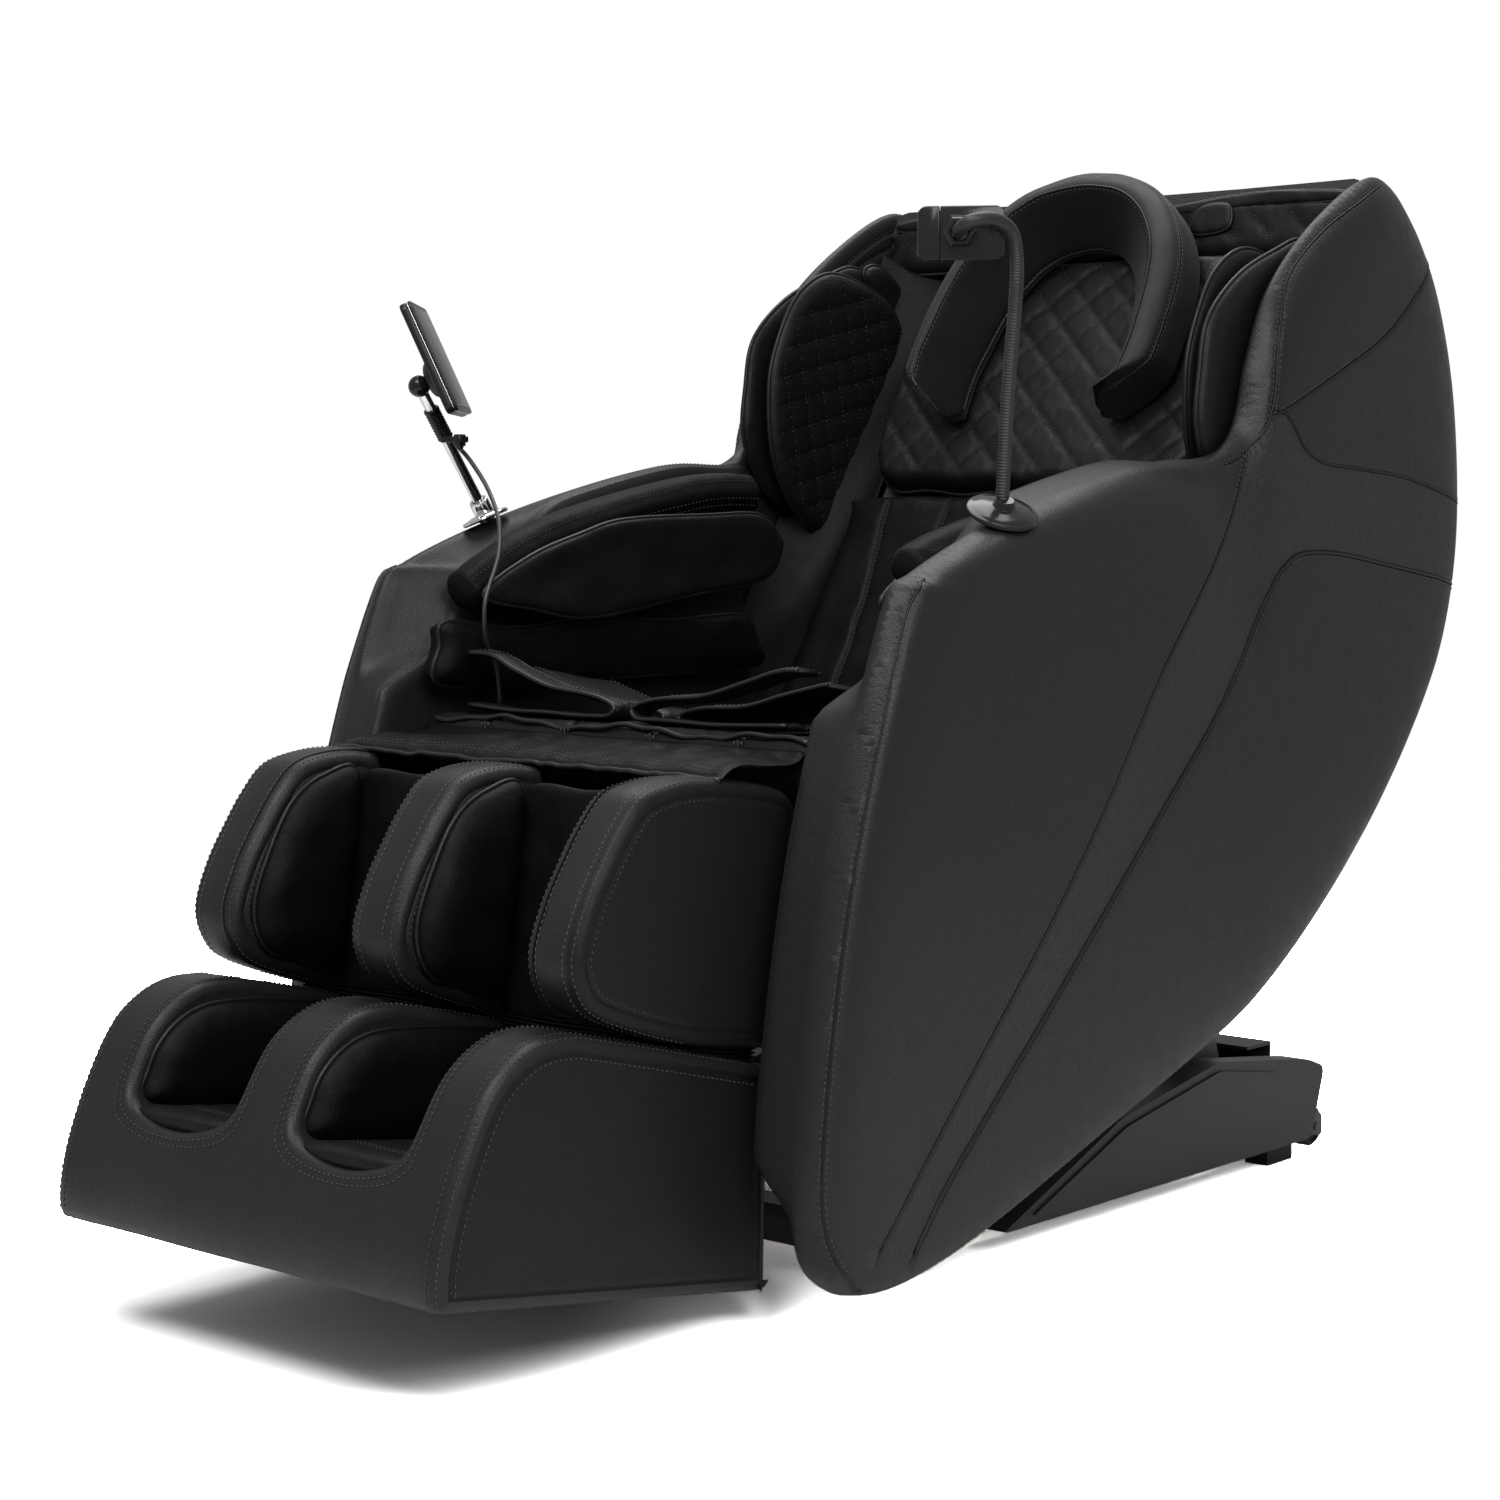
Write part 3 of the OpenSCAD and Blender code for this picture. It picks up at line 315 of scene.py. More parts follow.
def finish_of(name, colour, roughness=0.5, bump=0.0, grain=600.0, metallic=0.0, wear=0.12, specular=0.5, coat=0.0):
    # plastic, rubber, paint or metal with a fine grain and a slightly uneven tone
    material, tree, shader = principled(name, Metallic=metallic, Specular_IOR_Level=specular, Coat_Weight=coat,
                                        Coat_Roughness=0.12)
    where = add_node(tree, "ShaderNodeTexCoord")
    cloud = add_node(tree, "ShaderNodeTexNoise", [("Vector", where.outputs["Object"])], in_Scale=14.0, in_Detail=4.0)
    dark = tuple(c * (1 - wear) for c in colour) + (1,)
    light = tuple(min(1, c * (1 + wear) + 0.002) for c in colour) + (1,)
    tone = add_node(tree, "ShaderNodeMix", [("Factor", cloud.outputs[0])], data_type="RGBA")
    tone.inputs[6].default_value, tone.inputs[7].default_value = dark, light
    tree.links.new(tone.outputs[2], shader.inputs["Base Color"])
    fine = add_node(tree, "ShaderNodeTexNoise", [("Vector", where.outputs["Object"])], in_Scale=grain, in_Detail=2.0)
    rough = add_node(tree, "ShaderNodeMapRange", [("Value", cloud.outputs[0])], in_To_Min=roughness * 0.88,
                     in_To_Max=min(1, roughness * 1.14))
    tree.links.new(rough.outputs[0], shader.inputs["Roughness"])
    if bump:
        bumps = add_node(tree, "ShaderNodeBump", [("Height", fine.outputs[0])], in_Strength=bump, in_Distance=0.0006)
        tree.links.new(bumps.outputs[0], shader.inputs["Normal"])
    return material


cord_rubber = finish_of("cord_rubber", (0.018, 0.018, 0.019), 0.42, 0.1)
plug_at = (-308.0, -227.0, 861.2)
cord_points = [(plug_at[0] + a, plug_at[1] + b, plug_at[2] + c) for a, b, c in [(0, 2, -10.5), (2, 15, -23)]]
cord_points += [(-288, -206, 812), (-262, -216, 786), (-243, -228, 765), (-232, -241, 733), (-224.6, -267, 691),
                (-226, -268, 663), (-233, -258, 639), (-236, -246, 627), (-236, -239, 605), (-236, -236, 570)]
cord_line = curve(cord_points, 3)
cord_shape = Shape()
cord_shape.tube(cord_line, 2.5, 10, up=(1, 0, 0))
tablet_cord = cord_shape.build("tablet_lead", [cord_rubber], body=None)
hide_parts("tablet_cord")
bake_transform(tablet_cord)

# ---- side shells with their arms ----
# Each side is a leaf-shaped moulding 50 mm thick with a padded arm inside it, covered in black
# synthetic leather: a front strip, a broad side panel, a crinkled diagonal band, a rear panel
# and a hood panel, sewn with double rows of thread.


def leather(name, colour, roughness=0.47, grain=520.0, depth=0.45, crease=0.25, sheen=0.0, specular=0.42, streak=0.0):
    material, tree, shader = principled(name, Specular_IOR_Level=specular, Sheen_Weight=sheen, Sheen_Roughness=0.4)
    where = add_node(tree, "ShaderNodeTexCoord")
    warp = add_node(tree, "ShaderNodeTexNoise", [("Vector", where.outputs["Object"])], in_Scale=grain * 0.3,
                    in_Detail=1.0)
    bent = add_node(tree, "ShaderNodeMix", [(4, where.outputs["Object"]), (5, warp.outputs["Color"])],
                    data_type="VECTOR", in_0=0.002)
    cells = add_node(tree, "ShaderNodeTexVoronoi", [("Vector", bent.outputs[1])], in_Scale=grain, feature="SMOOTH_F1",
                     in_Smoothness=0.6)
    folds = add_node(tree, "ShaderNodeTexNoise", [("Vector", where.outputs["Object"])], in_Scale=38.0, in_Detail=5.0,
                     in_Roughness=0.62, in_Distortion=0.6)
    cloud = add_node(tree, "ShaderNodeTexNoise", [("Vector", where.outputs["Object"])], in_Scale=5.0, in_Detail=3.0)
    tone = add_node(tree, "ShaderNodeMix", [("Factor", cloud.outputs[0])], data_type="RGBA")
    tone.inputs[6].default_value = tuple(c * 0.86 for c in colour) + (1,)
    tone.inputs[7].default_value = tuple(c * 1.14 for c in colour) + (1,)
    pits = add_node(tree, "ShaderNodeMapRange", [("Value", cells.outputs["Distance"])], in_From_Max=0.75,
                    in_To_Min=1.06, in_To_Max=0.8)
    shade = add_node(tree, "ShaderNodeMix", [(6, tone.outputs[2]), (7, pits.outputs[0])], data_type="RGBA",
                     blend_type="MULTIPLY", in_0=1.0)
    tree.links.new(shade.outputs[2], shader.inputs["Base Color"])
    rough = add_node(tree, "ShaderNodeMapRange", [("Value", folds.outputs[0])], in_From_Min=0.3, in_From_Max=0.7,
                     in_To_Min=roughness * 0.9, in_To_Max=roughness * 1.12)
    tree.links.new(rough.outputs[0], shader.inputs["Roughness"])
    first = add_node(tree, "ShaderNodeBump", [("Height", folds.outputs[0])], in_Strength=crease, in_Distance=0.0016)
    last = add_node(tree, "ShaderNodeBump", [("Height", cells.outputs["Distance"]), ("Normal", first.outputs[0])],
                    in_Strength=depth, in_Distance=0.0005, invert=True)
    if streak:
        turned = add_node(tree, "ShaderNodeMapping", [("Vector", where.outputs["Object"])], in_Scale=(60, 240, 60))
        turned.inputs["Rotation"].default_value = (math.radians(-48), 0, 0)
        scratch = add_node(tree, "ShaderNodeTexNoise", [("Vector", turned.outputs[0])], in_Scale=1.0, in_Detail=4.0,
                           in_Roughness=0.7, in_Distortion=1.2)
        last = add_node(tree, "ShaderNodeBump", [("Height", scratch.outputs[0]), ("Normal", last.outputs[0])],
                        in_Strength=streak, in_Distance=0.0012)
    tree.links.new(last.outputs[0], shader.inputs["Normal"])
    return material


shell_leather = leather("shell_leather", (0.0122, 0.0122, 0.0126), 0.41, specular=0.2)
# a darker copy of the shell leather for the leg rest's outer side panels: painted shade
shaded_side_leather = leather("shaded_side_leather", (0.0084, 0.0084, 0.0087), 0.45, specular=0.13)
band_leather = leather("band_leather", (0.0185, 0.0185, 0.0190), 0.42, 300.0, 1.0, 1.0, specular=0.2, streak=1.6)
thread = finish_of("thread", (0.052, 0.052, 0.054), 0.6, 0.2, 1500.0, specular=0.25)
piping = leather("piping", (0.0055, 0.0055, 0.006), 0.42, specular=0.22)

SHELL_C = np.array([300.0, 600.0])
leaf_shape = [(0.040, 0.069), (0.000, 0.178), (0.032, 0.512), (0.100, 0.812), (0.141, 0.864), (0.274, 0.929),
              (0.439, 0.980), (0.545, 0.985), (0.602, 1.078), (0.628, 1.334), (0.663, 1.578), (0.743, 1.828),
              (0.842, 2.000), (0.906, 1.881), (0.961, 1.600), (0.997, 1.178), (1.000, 0.866), (0.949, 0.682),
              (0.817, 0.469), (0.628, 0.288), (0.356, 0.154), (0.142, 0.065)]
leaf_front, leaf_long, arm_level, hood_rise = -433, 1215, 843, 320
leaf_points = np.array([(leaf_front + leaf_long * t, z * arm_level if z <= 1 else arm_level + (z - 1) * hood_rise)
                        for t, z in leaf_shape])
leaf_loop = evenly(curve(leaf_points, 14, True), 11.0, True)
from_middle = leaf_loop - SHELL_C
loop_angle = np.arctan2(from_middle[:, 1], from_middle[:, 0])
order = np.argsort(loop_angle)
loop_angle = np.concatenate([loop_angle[order] + turn for turn in (-2 * math.pi, 0, 2 * math.pi)])
loop_reach = np.tile(np.hypot(from_middle[:, 0], from_middle[:, 1])[order], 3)
round_off = curve([(0, 350), (1.2, 352.6), (3, 356), (6, 360.6), (10, 365.5), (15, 370.5), (22, 375.3), (34, 380.6),
                   (60, 385.2), (110, 388.0), (190, 389.4), (320, 390), (800, 390)], 6)


def rim_share(y, z):
    # how far the edge's rounding reaches in, by the direction from the middle
    return 0.4 + 0.45 * np.maximum(0, y) + 1.1 * np.maximum(0, z)


def inward(y, z):
    # distance in from the leaf's edge, in the measure that the edge is rounded by
    a = np.arctan2(z - SHELL_C[1], y - SHELL_C[0])
    reach = np.interp(a, loop_angle, loop_reach) - np.hypot(y - SHELL_C[0], z - SHELL_C[1])
    return reach / rim_share(np.cos(a), np.sin(a))


def outer_face(y, z):
    return np.interp(inward(y, z), round_off[:, 0], round_off[:, 1])


def away(points, line):
    # distance of each point from a polyline
    p, q = np.asarray(points, float), np.asarray(line, float)
    best = np.full(len(p), 1e9)
    for a, b in zip(q[:-1], q[1:]):
        d = b - a
        t = np.clip(((p - a) @ d) / max(d @ d, 1e-9), 0, 1)
        best = np.minimum(best, np.hypot(*(p - a - t[:, None] * d).T))
    return best


def inside(points, loop):
    p, q = np.asarray(points, float), np.asarray(loop, float)
    hit = np.zeros(len(p), bool)
    for a, b in zip(q, np.roll(q, -1, 0)):
        crosses = (a[1] > p[:, 1]) != (b[1] > p[:, 1])
        with np.errstate(divide="ignore", invalid="ignore"):
            x = (b[0] - a[0]) * (p[:, 1] - a[1]) / (b[1] - a[1]) + a[0]
        hit ^= crosses & (p[:, 0] < x)
    return hit


def panel(loop, lines, step, rings=(), holes=(), sides=(1.4, 3.4, 7.0), extra=None):
    # triangles that fill a loop, with an edge along each sewn line and finer rows beside it
    loop = np.asarray(loop, float)
    points, edges = [tuple(q) for q in loop], [(i, (i + 1) % len(loop)) for i in range(len(loop))]
    for hole in holes:
        start = len(points)
        points += [tuple(q) for q in hole]
        edges += [(start + i, start + (i + 1) % len(hole)) for i in range(len(hole))]
    placed = []
    for line in lines:
        line = evenly(line, step * 0.62)
        start = len(points)
        points += [tuple(q) for q in line]
        edges += [(start + i, start + i + 1) for i in range(len(line) - 1)]
        placed.append(line)
    more = []
    for line in placed:
        for off in sides:
            for sign in (-1, 1):
                q = line + beside(line) * off * sign
                keep = np.ones(len(q), bool)
                for other in placed:
                    keep &= away(q, other) > off * 0.9
                more.append(q[keep])
    for ring in rings:
        q = np.asarray(ring, float)
        keep = np.ones(len(q), bool)
        for other in placed:
            keep &= away(q, other) > max(sides) * 0.4 + 1.0
        more.append(q[keep])
    low, high = loop.min(0), loop.max(0)
    rows = []
    for j, b in enumerate(np.arange(low[1], high[1], step * 0.87)):
        a = np.arange(low[0] + (step / 2 if j % 2 else 0), high[0], step)
        rows.append(np.stack([a, np.full(len(a), b)], axis=1))
    fill = np.vstack(rows)
    keep = np.ones(len(fill), bool)
    for other in placed:
        keep &= away(fill, other) > max(sides) + step * 0.45
    for ring in rings:
        keep &= away(fill, looped(ring)) > step * 0.5
    more.append(fill[keep])
    if extra is not None:
        more.append(np.asarray(extra, float))
    more = np.vstack(more)
    keep = inside(more, loop)
    for edge in (loop, *holes):
        keep &= away(more, looped(edge)) > 0.9
    for hole in holes:
        keep &= ~inside(more, hole)
    more = more[keep]
    points += [tuple(q) for q in more]
    verts, _, faces, *_ = delaunay_2d_cdt([Vector(q) for q in points], edges, [], 0, 1e-4)
    verts = np.array([(q[0], q[1]) for q in verts])
    middle = np.array([verts[q].mean(0) for q in faces])
    good = inside(middle, loop)
    for hole in holes:
        good &= ~inside(middle, hole)
    a, b, c = (verts[np.array([q[k] for q in faces])] for k in range(3))
    area = (b[:, 0] - a[:, 0]) * (c[:, 1] - a[:, 1]) - (b[:, 1] - a[:, 1]) * (c[:, 0] - a[:, 0])
    faces = [tuple(q if s > 0 else q[::-1]) for q, g, s in zip(faces, good, area) if g and abs(s) > 1e-4]
    return verts, faces


front_seam = [q + (SHELL_C - q) / np.linalg.norm(SHELL_C - q) * 10.5
              for q in curve([leaf_points[21] * 0.35 + leaf_points[0] * 0.65, leaf_points[0], leaf_points[1],
                              leaf_points[2], leaf_points[3], leaf_points[4]], 8)[6:-3]]
band_front = curve([(300, 850), (290, 830), (264, 793), (214, 732), (112, 620), (9, 484), (-90, 370), (-185, 272),
                    (-276, 178.5), (-352, 96)], 6)
band_rear = curve([(776, 688), (703, 701.5), (600, 716), (465, 734), (384, 735.5), (350, 723), (320, 698), (224, 577),
                   (115, 475), (11, 379), (-89, 288), (-184, 203.5), (-257, 136), (-300, 84)], 6)
rear_upper = curve([(331, 893), (352, 887), (369, 870.6), (391, 849), (433, 835), (520, 828), (611, 820), (718, 800),
                    (778, 786)], 5)
hood_seam = curve([(331, 889), (353, 893), (473, 941), (560, 978.5), (629, 1024), (690, 1068), (716, 1088)], 5)
rim_seam = curve([(268, 833), (286, 839), (312, 862), (331, 899), (346, 955), (368, 1005.6), (403, 1050), (470, 1098),
                  (560, 1142), (588, 1152)], 5)
seams = [front_seam, band_front, band_rear, rear_upper, hood_seam, rim_seam]
seam_width = [1.5, 2.3, 2.6, 2.2, 2.2, 1.9]
seam_depth = [1.5, 1.5, 2.4, 1.6, 1.6, 1.5]


def sunk(points, lines, widths, depths):
    low = np.zeros(len(points))
    for line, width, depth in zip(lines, widths, depths):
        d = away(points, line)
        low = np.maximum(low, depth * np.exp(-(d / width) ** 2)) - 0.25 * np.exp(-((d - 8) / 5) ** 2)
    return low


to_middle = unit(SHELL_C - leaf_loop)
loop_share = rim_share(-to_middle[:, 0], -to_middle[:, 1])
shell_rings = [leaf_loop + to_middle * (d * loop_share)[:, None] for d in (1.2, 3, 6, 10, 15, 22, 34, 50, 70)]
outer_flat, outer_faces = panel(leaf_loop, seams, 15.0, shell_rings)
outer_x = outer_face(outer_flat[:, 0], outer_flat[:, 1]) - sunk(outer_flat, seams, seam_width, seam_depth)
loop_n = len(leaf_loop)
outer_x[:loop_n] = 350.0
band_zone = np.vstack([band_front[4:], band_rear[::-1][0:1], band_rear[::-1], rear_upper[::-1], [(331, 886)]])

# the edge rolls over to the inner face: across the arm's crest, the front strip or the thin rim
outward = beside(leaf_loop, True)
if ((leaf_loop + outward - SHELL_C) ** 2).sum() < ((leaf_loop - outward - SHELL_C) ** 2).sum():
    outward = -outward
over_arm = [(346, 1.0), (340, 2.3), (333, 3.9), (325, 5.4), (317, 6.6), (310, 7.2), (306.4, 6.9), (304.6, 5.0),
            (302.8, 5.6), (300, 2.6), (297.8, -3), (296.5, -9), (296, -16), (296, -23), (296, -32)]
over_front = [(346, 0.3), (340, 0.7), (333, 1.2), (325, 1.9), (317, 2.5), (310, 2.8), (306.4, 2.4), (304.6, 0.8),
              (302.8, 1.4), (300, -1.0), (297.8, -6.0), (296.5, -12), (296, -18), (296, -25), (296, -32)]
over_rim = [(348.4, -0.3), (346.8, -0.9), (345.3, -1.9), (344.0, -3.2), (343.0, -4.9), (342.2, -7), (341.6, -10),
            (341.2, -14), (341, -18.5), (341.4, -20.5), (342.8, -22), (341.4, -23.5), (341, -26), (341, -29),
            (341, -33)]


def near_step(value, low, high):
    t = np.clip((value - low) / (high - low), 0, 1)
    return t * t * (3 - 2 * t)


y_loop, z_loop = leaf_loop[:, 0], leaf_loop[:, 1]
is_arm = np.where(z_loop > 500, near_step(z_loop, 640, 742) * (1 - near_step(y_loop, 222, 292)), 0.0) * (y_loop < 300)
is_front = np.where(y_loop < -200, near_step(z_loop, 120, 190), 0.0) * (1 - is_arm) * (outward[:, 0] < 0.2)
is_rim = 1 - is_arm - is_front
rim_rows = []
for (xa, ha), (xf, hf), (xr, hr) in zip(over_arm, over_front, over_rim):
    x = is_arm * xa + is_front * xf + is_rim * xr
    drop = 9.0 * (1 - near_step(y_loop, -236, -160)) * min(1.0, (349 - xa) / 40)
    h = is_arm * (ha - drop) + is_front * hf + is_rim * hr
    row = leaf_loop + outward * h[:, None]
    front_corner = near_step(z_loop, 588, 640) * (1 - near_step(y_loop, -236, -52)) * (y_loop < 0)
    row[:, 0] += 84 * np.clip((348 - x) / 50, 0, 1) ** 0.85 * front_corner
    rim_rows.append(np.column_stack([x, row]))
inner_loop = rim_rows[-1][:, 1:]
arm_back = np.array([(229, 900), (229, 832), (262, 700), (270, 620), (330, 420), (200, 300), (-60, 225), (-250, 160),
                     (-390, 110), (-470, 90)])
arm_zone = np.vstack([arm_back, [(-700, 90), (-700, 900)]])
thin_inner, arm_thick = 341, 45


def inner_face(points):
    d = away(points, arm_back) * np.where(inside(points, arm_zone), 1, -1)
    return thin_inner - arm_thick * near_step(d, -2, 34)


lining_seam = evenly(curve([(344, 862), (372, 950), (412, 1020), (500, 1085), (575, 1118)], 6), 10)
inner_flat, inner_faces = panel(inner_loop, [lining_seam], 17.0, extra=np.vstack(
    [evenly(arm_back[1:-1], 9.0) + np.array(s) for s in ((0, 0), (-9, 5), (-18, 10), (-27, 15), (8, -4))]))
inner_x = inner_face(inner_flat) + sunk(inner_flat, [lining_seam], [2.2], [1.8])
inner_x[:loop_n] = rim_rows[-1][:, 0]

in_band = [int(hit) for hit in inside(np.array([outer_flat[list(q)].mean(0) for q in outer_faces]), band_zone)]
crest = [i for i in range(loop_n) if is_arm[i] > 0.6 and y_loop[i] > -60]
hood_edge = [i for i in range(loop_n) if is_rim[i] > 0.9 and 300 < y_loop[i] < 600 and z_loop[i] > 860]

for side, name in ((1, "left"), (-1, "right")):
    shell = Shape()
    shell.add(np.column_stack([outer_x, outer_flat]), outer_faces, in_band)
    rows = [0] + [shell.put(row) for row in rim_rows]
    shell.bridge(rows, loop_n)
    # the inner face's first points are the last row's
    shell.put(np.column_stack([inner_x, inner_flat])[loop_n:])
    shell.add([], [tuple(rows[-1] - len(shell.v) + i for i in reversed(q)) for q in inner_faces])
    shell.build("side_shell_cover_" + name, [shell_leather, band_leather], mirror=side < 0, outward=True)
    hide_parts("side_shell_" + name, "arm_body_" + name)

    # threads beside the seams, and the piping behind the band
    sewing = Shape()
    for line, offsets in zip(seams, ((-3.4, 3.4), (-4.2,), (5.2,), (4.0,), (4.0,), (-3.6, 3.6))):
        line = evenly(line, 6.0)
        for off in offsets:
            on_face = np.column_stack([outer_face(line[:, 0], line[:, 1]), line])
            e = 1.5
            gy = (outer_face(line[:, 0] + e, line[:, 1]) - outer_face(line[:, 0] - e, line[:, 1])) / (2 * e)
            gz = (outer_face(line[:, 0], line[:, 1] + e) - outer_face(line[:, 0], line[:, 1] - e)) / (2 * e)
            normal = unit(np.column_stack([np.ones(len(line)), -gy, -gz]))
            moved = on_face + np.cross(normal, along(on_face)) * off
            moved[:, 0] = outer_face(moved[:, 1], moved[:, 2])
            keep = inward(moved[:, 1], moved[:, 2]) > 0.6
            if keep.sum() > 3:
                sewing.stitches(moved[keep] + normal[keep] * 0.1, normal[keep])
    for line, depth in zip(seams, seam_depth):
        line = evenly(line, 7.0)
        line = line[inward(line[:, 0], line[:, 1]) > 1.0]
        sewing.tube(np.column_stack([outer_face(line[:, 0], line[:, 1]) - depth * 0.36, line]), 1.2, 6, material=1)
    for group, rows_at, sideways, out in ((crest, (5, 9), -0.4, 1.0), (hood_edge, (9, 12), -1.0, 0.1)):
        for k in rows_at:
            sewing.stitches(rim_rows[k][group], np.column_stack([np.full(len(group), sideways), outward[group] * out]))
    pipe = evenly(band_rear, 8.0)
    pipe = pipe[inward(pipe[:, 0], pipe[:, 1]) > 2]
    sewing.tube(np.column_stack([outer_face(pipe[:, 0], pipe[:, 1]) - 0.9, pipe]), 1.7, 6, material=1)
    sewing.build("side_sewing_" + name, [thread, piping], mirror=side < 0)

# ---- rear shell ----
# One curved moulding that closes the back between the two side shells, 30 mm thick and crowned,
# covered in the shell's leather in three panels with sewn joints.
spine = evenly(curve(leaf_points[12:19], 10), 22.0)
rear = Shape()
rear_half, rear_crown, rear_thick = 339.5, 25, 29
across = np.concatenate([np.linspace(-1, -0.94, 4), np.linspace(-0.9, 0.9, 31), np.linspace(0.94, 1, 4)])
n_spine = len(spine)
rear_seams = (-0.46, 0.46)
grid = []
for s in across:
    out = rear_crown * (1 - s * s)
    dip = sum(1.8 * math.exp(-((s - q) * 339 / 5) ** 2) for q in rear_seams)
    edge_dip = 7 * max(0, (abs(s) - 0.955) / 0.045) ** 2
    outer = spine + [out, 0]
    toward = unit(SHELL_C - outer)
    outer = outer + toward * (dip + edge_dip)
    inner = outer + toward * rear_thick
    grid.append(np.column_stack([np.full(2 * n_spine, s * rear_half), np.vstack([outer, inner[::-1]])]))
verts = np.vstack(grid)
m = 2 * n_spine
faces = quads(len(across), m)
faces += [tuple(range(m)), tuple(range(len(verts) - m, len(verts)))[::-1]]
rear.add(verts, faces)
for q in rear_seams:
    for off in (-5, 5):
        x = q * 339 + off
        line = spine + [rear_crown * (1 - (x / rear_half) ** 2), 0]
        normal = unit(line - SHELL_C)
        rear.stitches(np.column_stack([np.full(n_spine, x), line - normal * 0.2]),
                      np.column_stack([np.zeros(n_spine), normal]), 1)
rear.build("rear_shell_cover", [shell_leather, thread], angle=50, outward=True)
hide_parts("rear_shell")

# ---- seat cushion and knee flap ----
# A thick foam cushion in soft leather on the seat board, piped and sewn into blocks along its
# front edge, with a leather flap sewn under the piping that covers the knee joint.
pad_leather = leather("pad_leather", (0.0030, 0.0030, 0.0032), 0.5, 560.0, 0.4, 0.7, specular=0.08)
quilt_leather = leather("quilt_leather", (0.0058, 0.0058, 0.006), 0.44, 560.0, 0.4, 0.45, specular=0.15)
soft_leather = leather("soft_leather", (0.0060, 0.0060, 0.0063), 0.46, 520.0, 0.4, 0.7, specular=0.12)
# a darker, duller copy of the soft leather for the arm rolls and the pockets' lower pads: painted shade for the shade
# under the arms
shaded_roll_leather = leather("shaded_roll_leather", (0.0032, 0.0032, 0.0034), 0.52, 520.0, 0.4, 0.8, specular=0.07)
light_edge = leather("bound_edge", (0.011, 0.011, 0.0115), 0.36, 700.0, 0.25, 0.15, specular=0.26)


def leaned(point, origin, degrees):
    # from a tilted frame of seat, back or leg into the chair's own
    p = np.asarray(point, float)
    c, s = math.cos(math.radians(degrees)), math.sin(math.radians(degrees))
    return np.stack([p[..., 0], origin[0] + p[..., 1] * c + p[..., 2] * s, origin[1] - p[..., 1] * s + p[..., 2] * c],
                    axis=-1)


def on_seat(p):
    return leaned(p, (-310, 572), 10)


def on_back(p):
    return leaned(p, (174.7, 476.65), 32)


def on_leg(p):
    return leaned(p, (-370, 490), 8.7)


def facing(place, depth):
    # for a pad that faces the front, this far back in its frame
    return lambda p: place(np.stack([p[:, 0], depth - p[:, 2], p[:, 1]], axis=-1))


def lying(place, height):
    # for a pad that faces up, this high in its frame
    return lambda p: place(np.stack([p[:, 0], p[:, 1], height + p[:, 2]], axis=-1))


def on_wall(s, x, sign):
    # for a pad on a wall of the leg rest, on side s
    return lambda p: on_leg(np.stack([s * (x + sign * (4 + p[:, 2])), p[:, 0], p[:, 1]], axis=-1))


def beside_seat(s, x):
    # for a pad that faces the middle of the chair from side s
    return lambda p: np.stack([s * (x - p[:, 2]), p[:, 0], p[:, 1]], axis=-1)


def wobble(*at):
    return noise.noise(Vector(at))


def round_up(t, least=0.0):
    # quarter circle from 0 at the edge to 1
    return np.sqrt(np.clip(1 - (1 - np.minimum(t, 1)) ** 2, least, 1))


def inset(loop, d):
    q = np.asarray(loop, float)
    n = beside(q, True)
    area = (q[:, 0] * np.roll(q[:, 1], -1) - np.roll(q[:, 0], -1) * q[:, 1]).sum()
    return q + n * (d if area > 0 else -d)


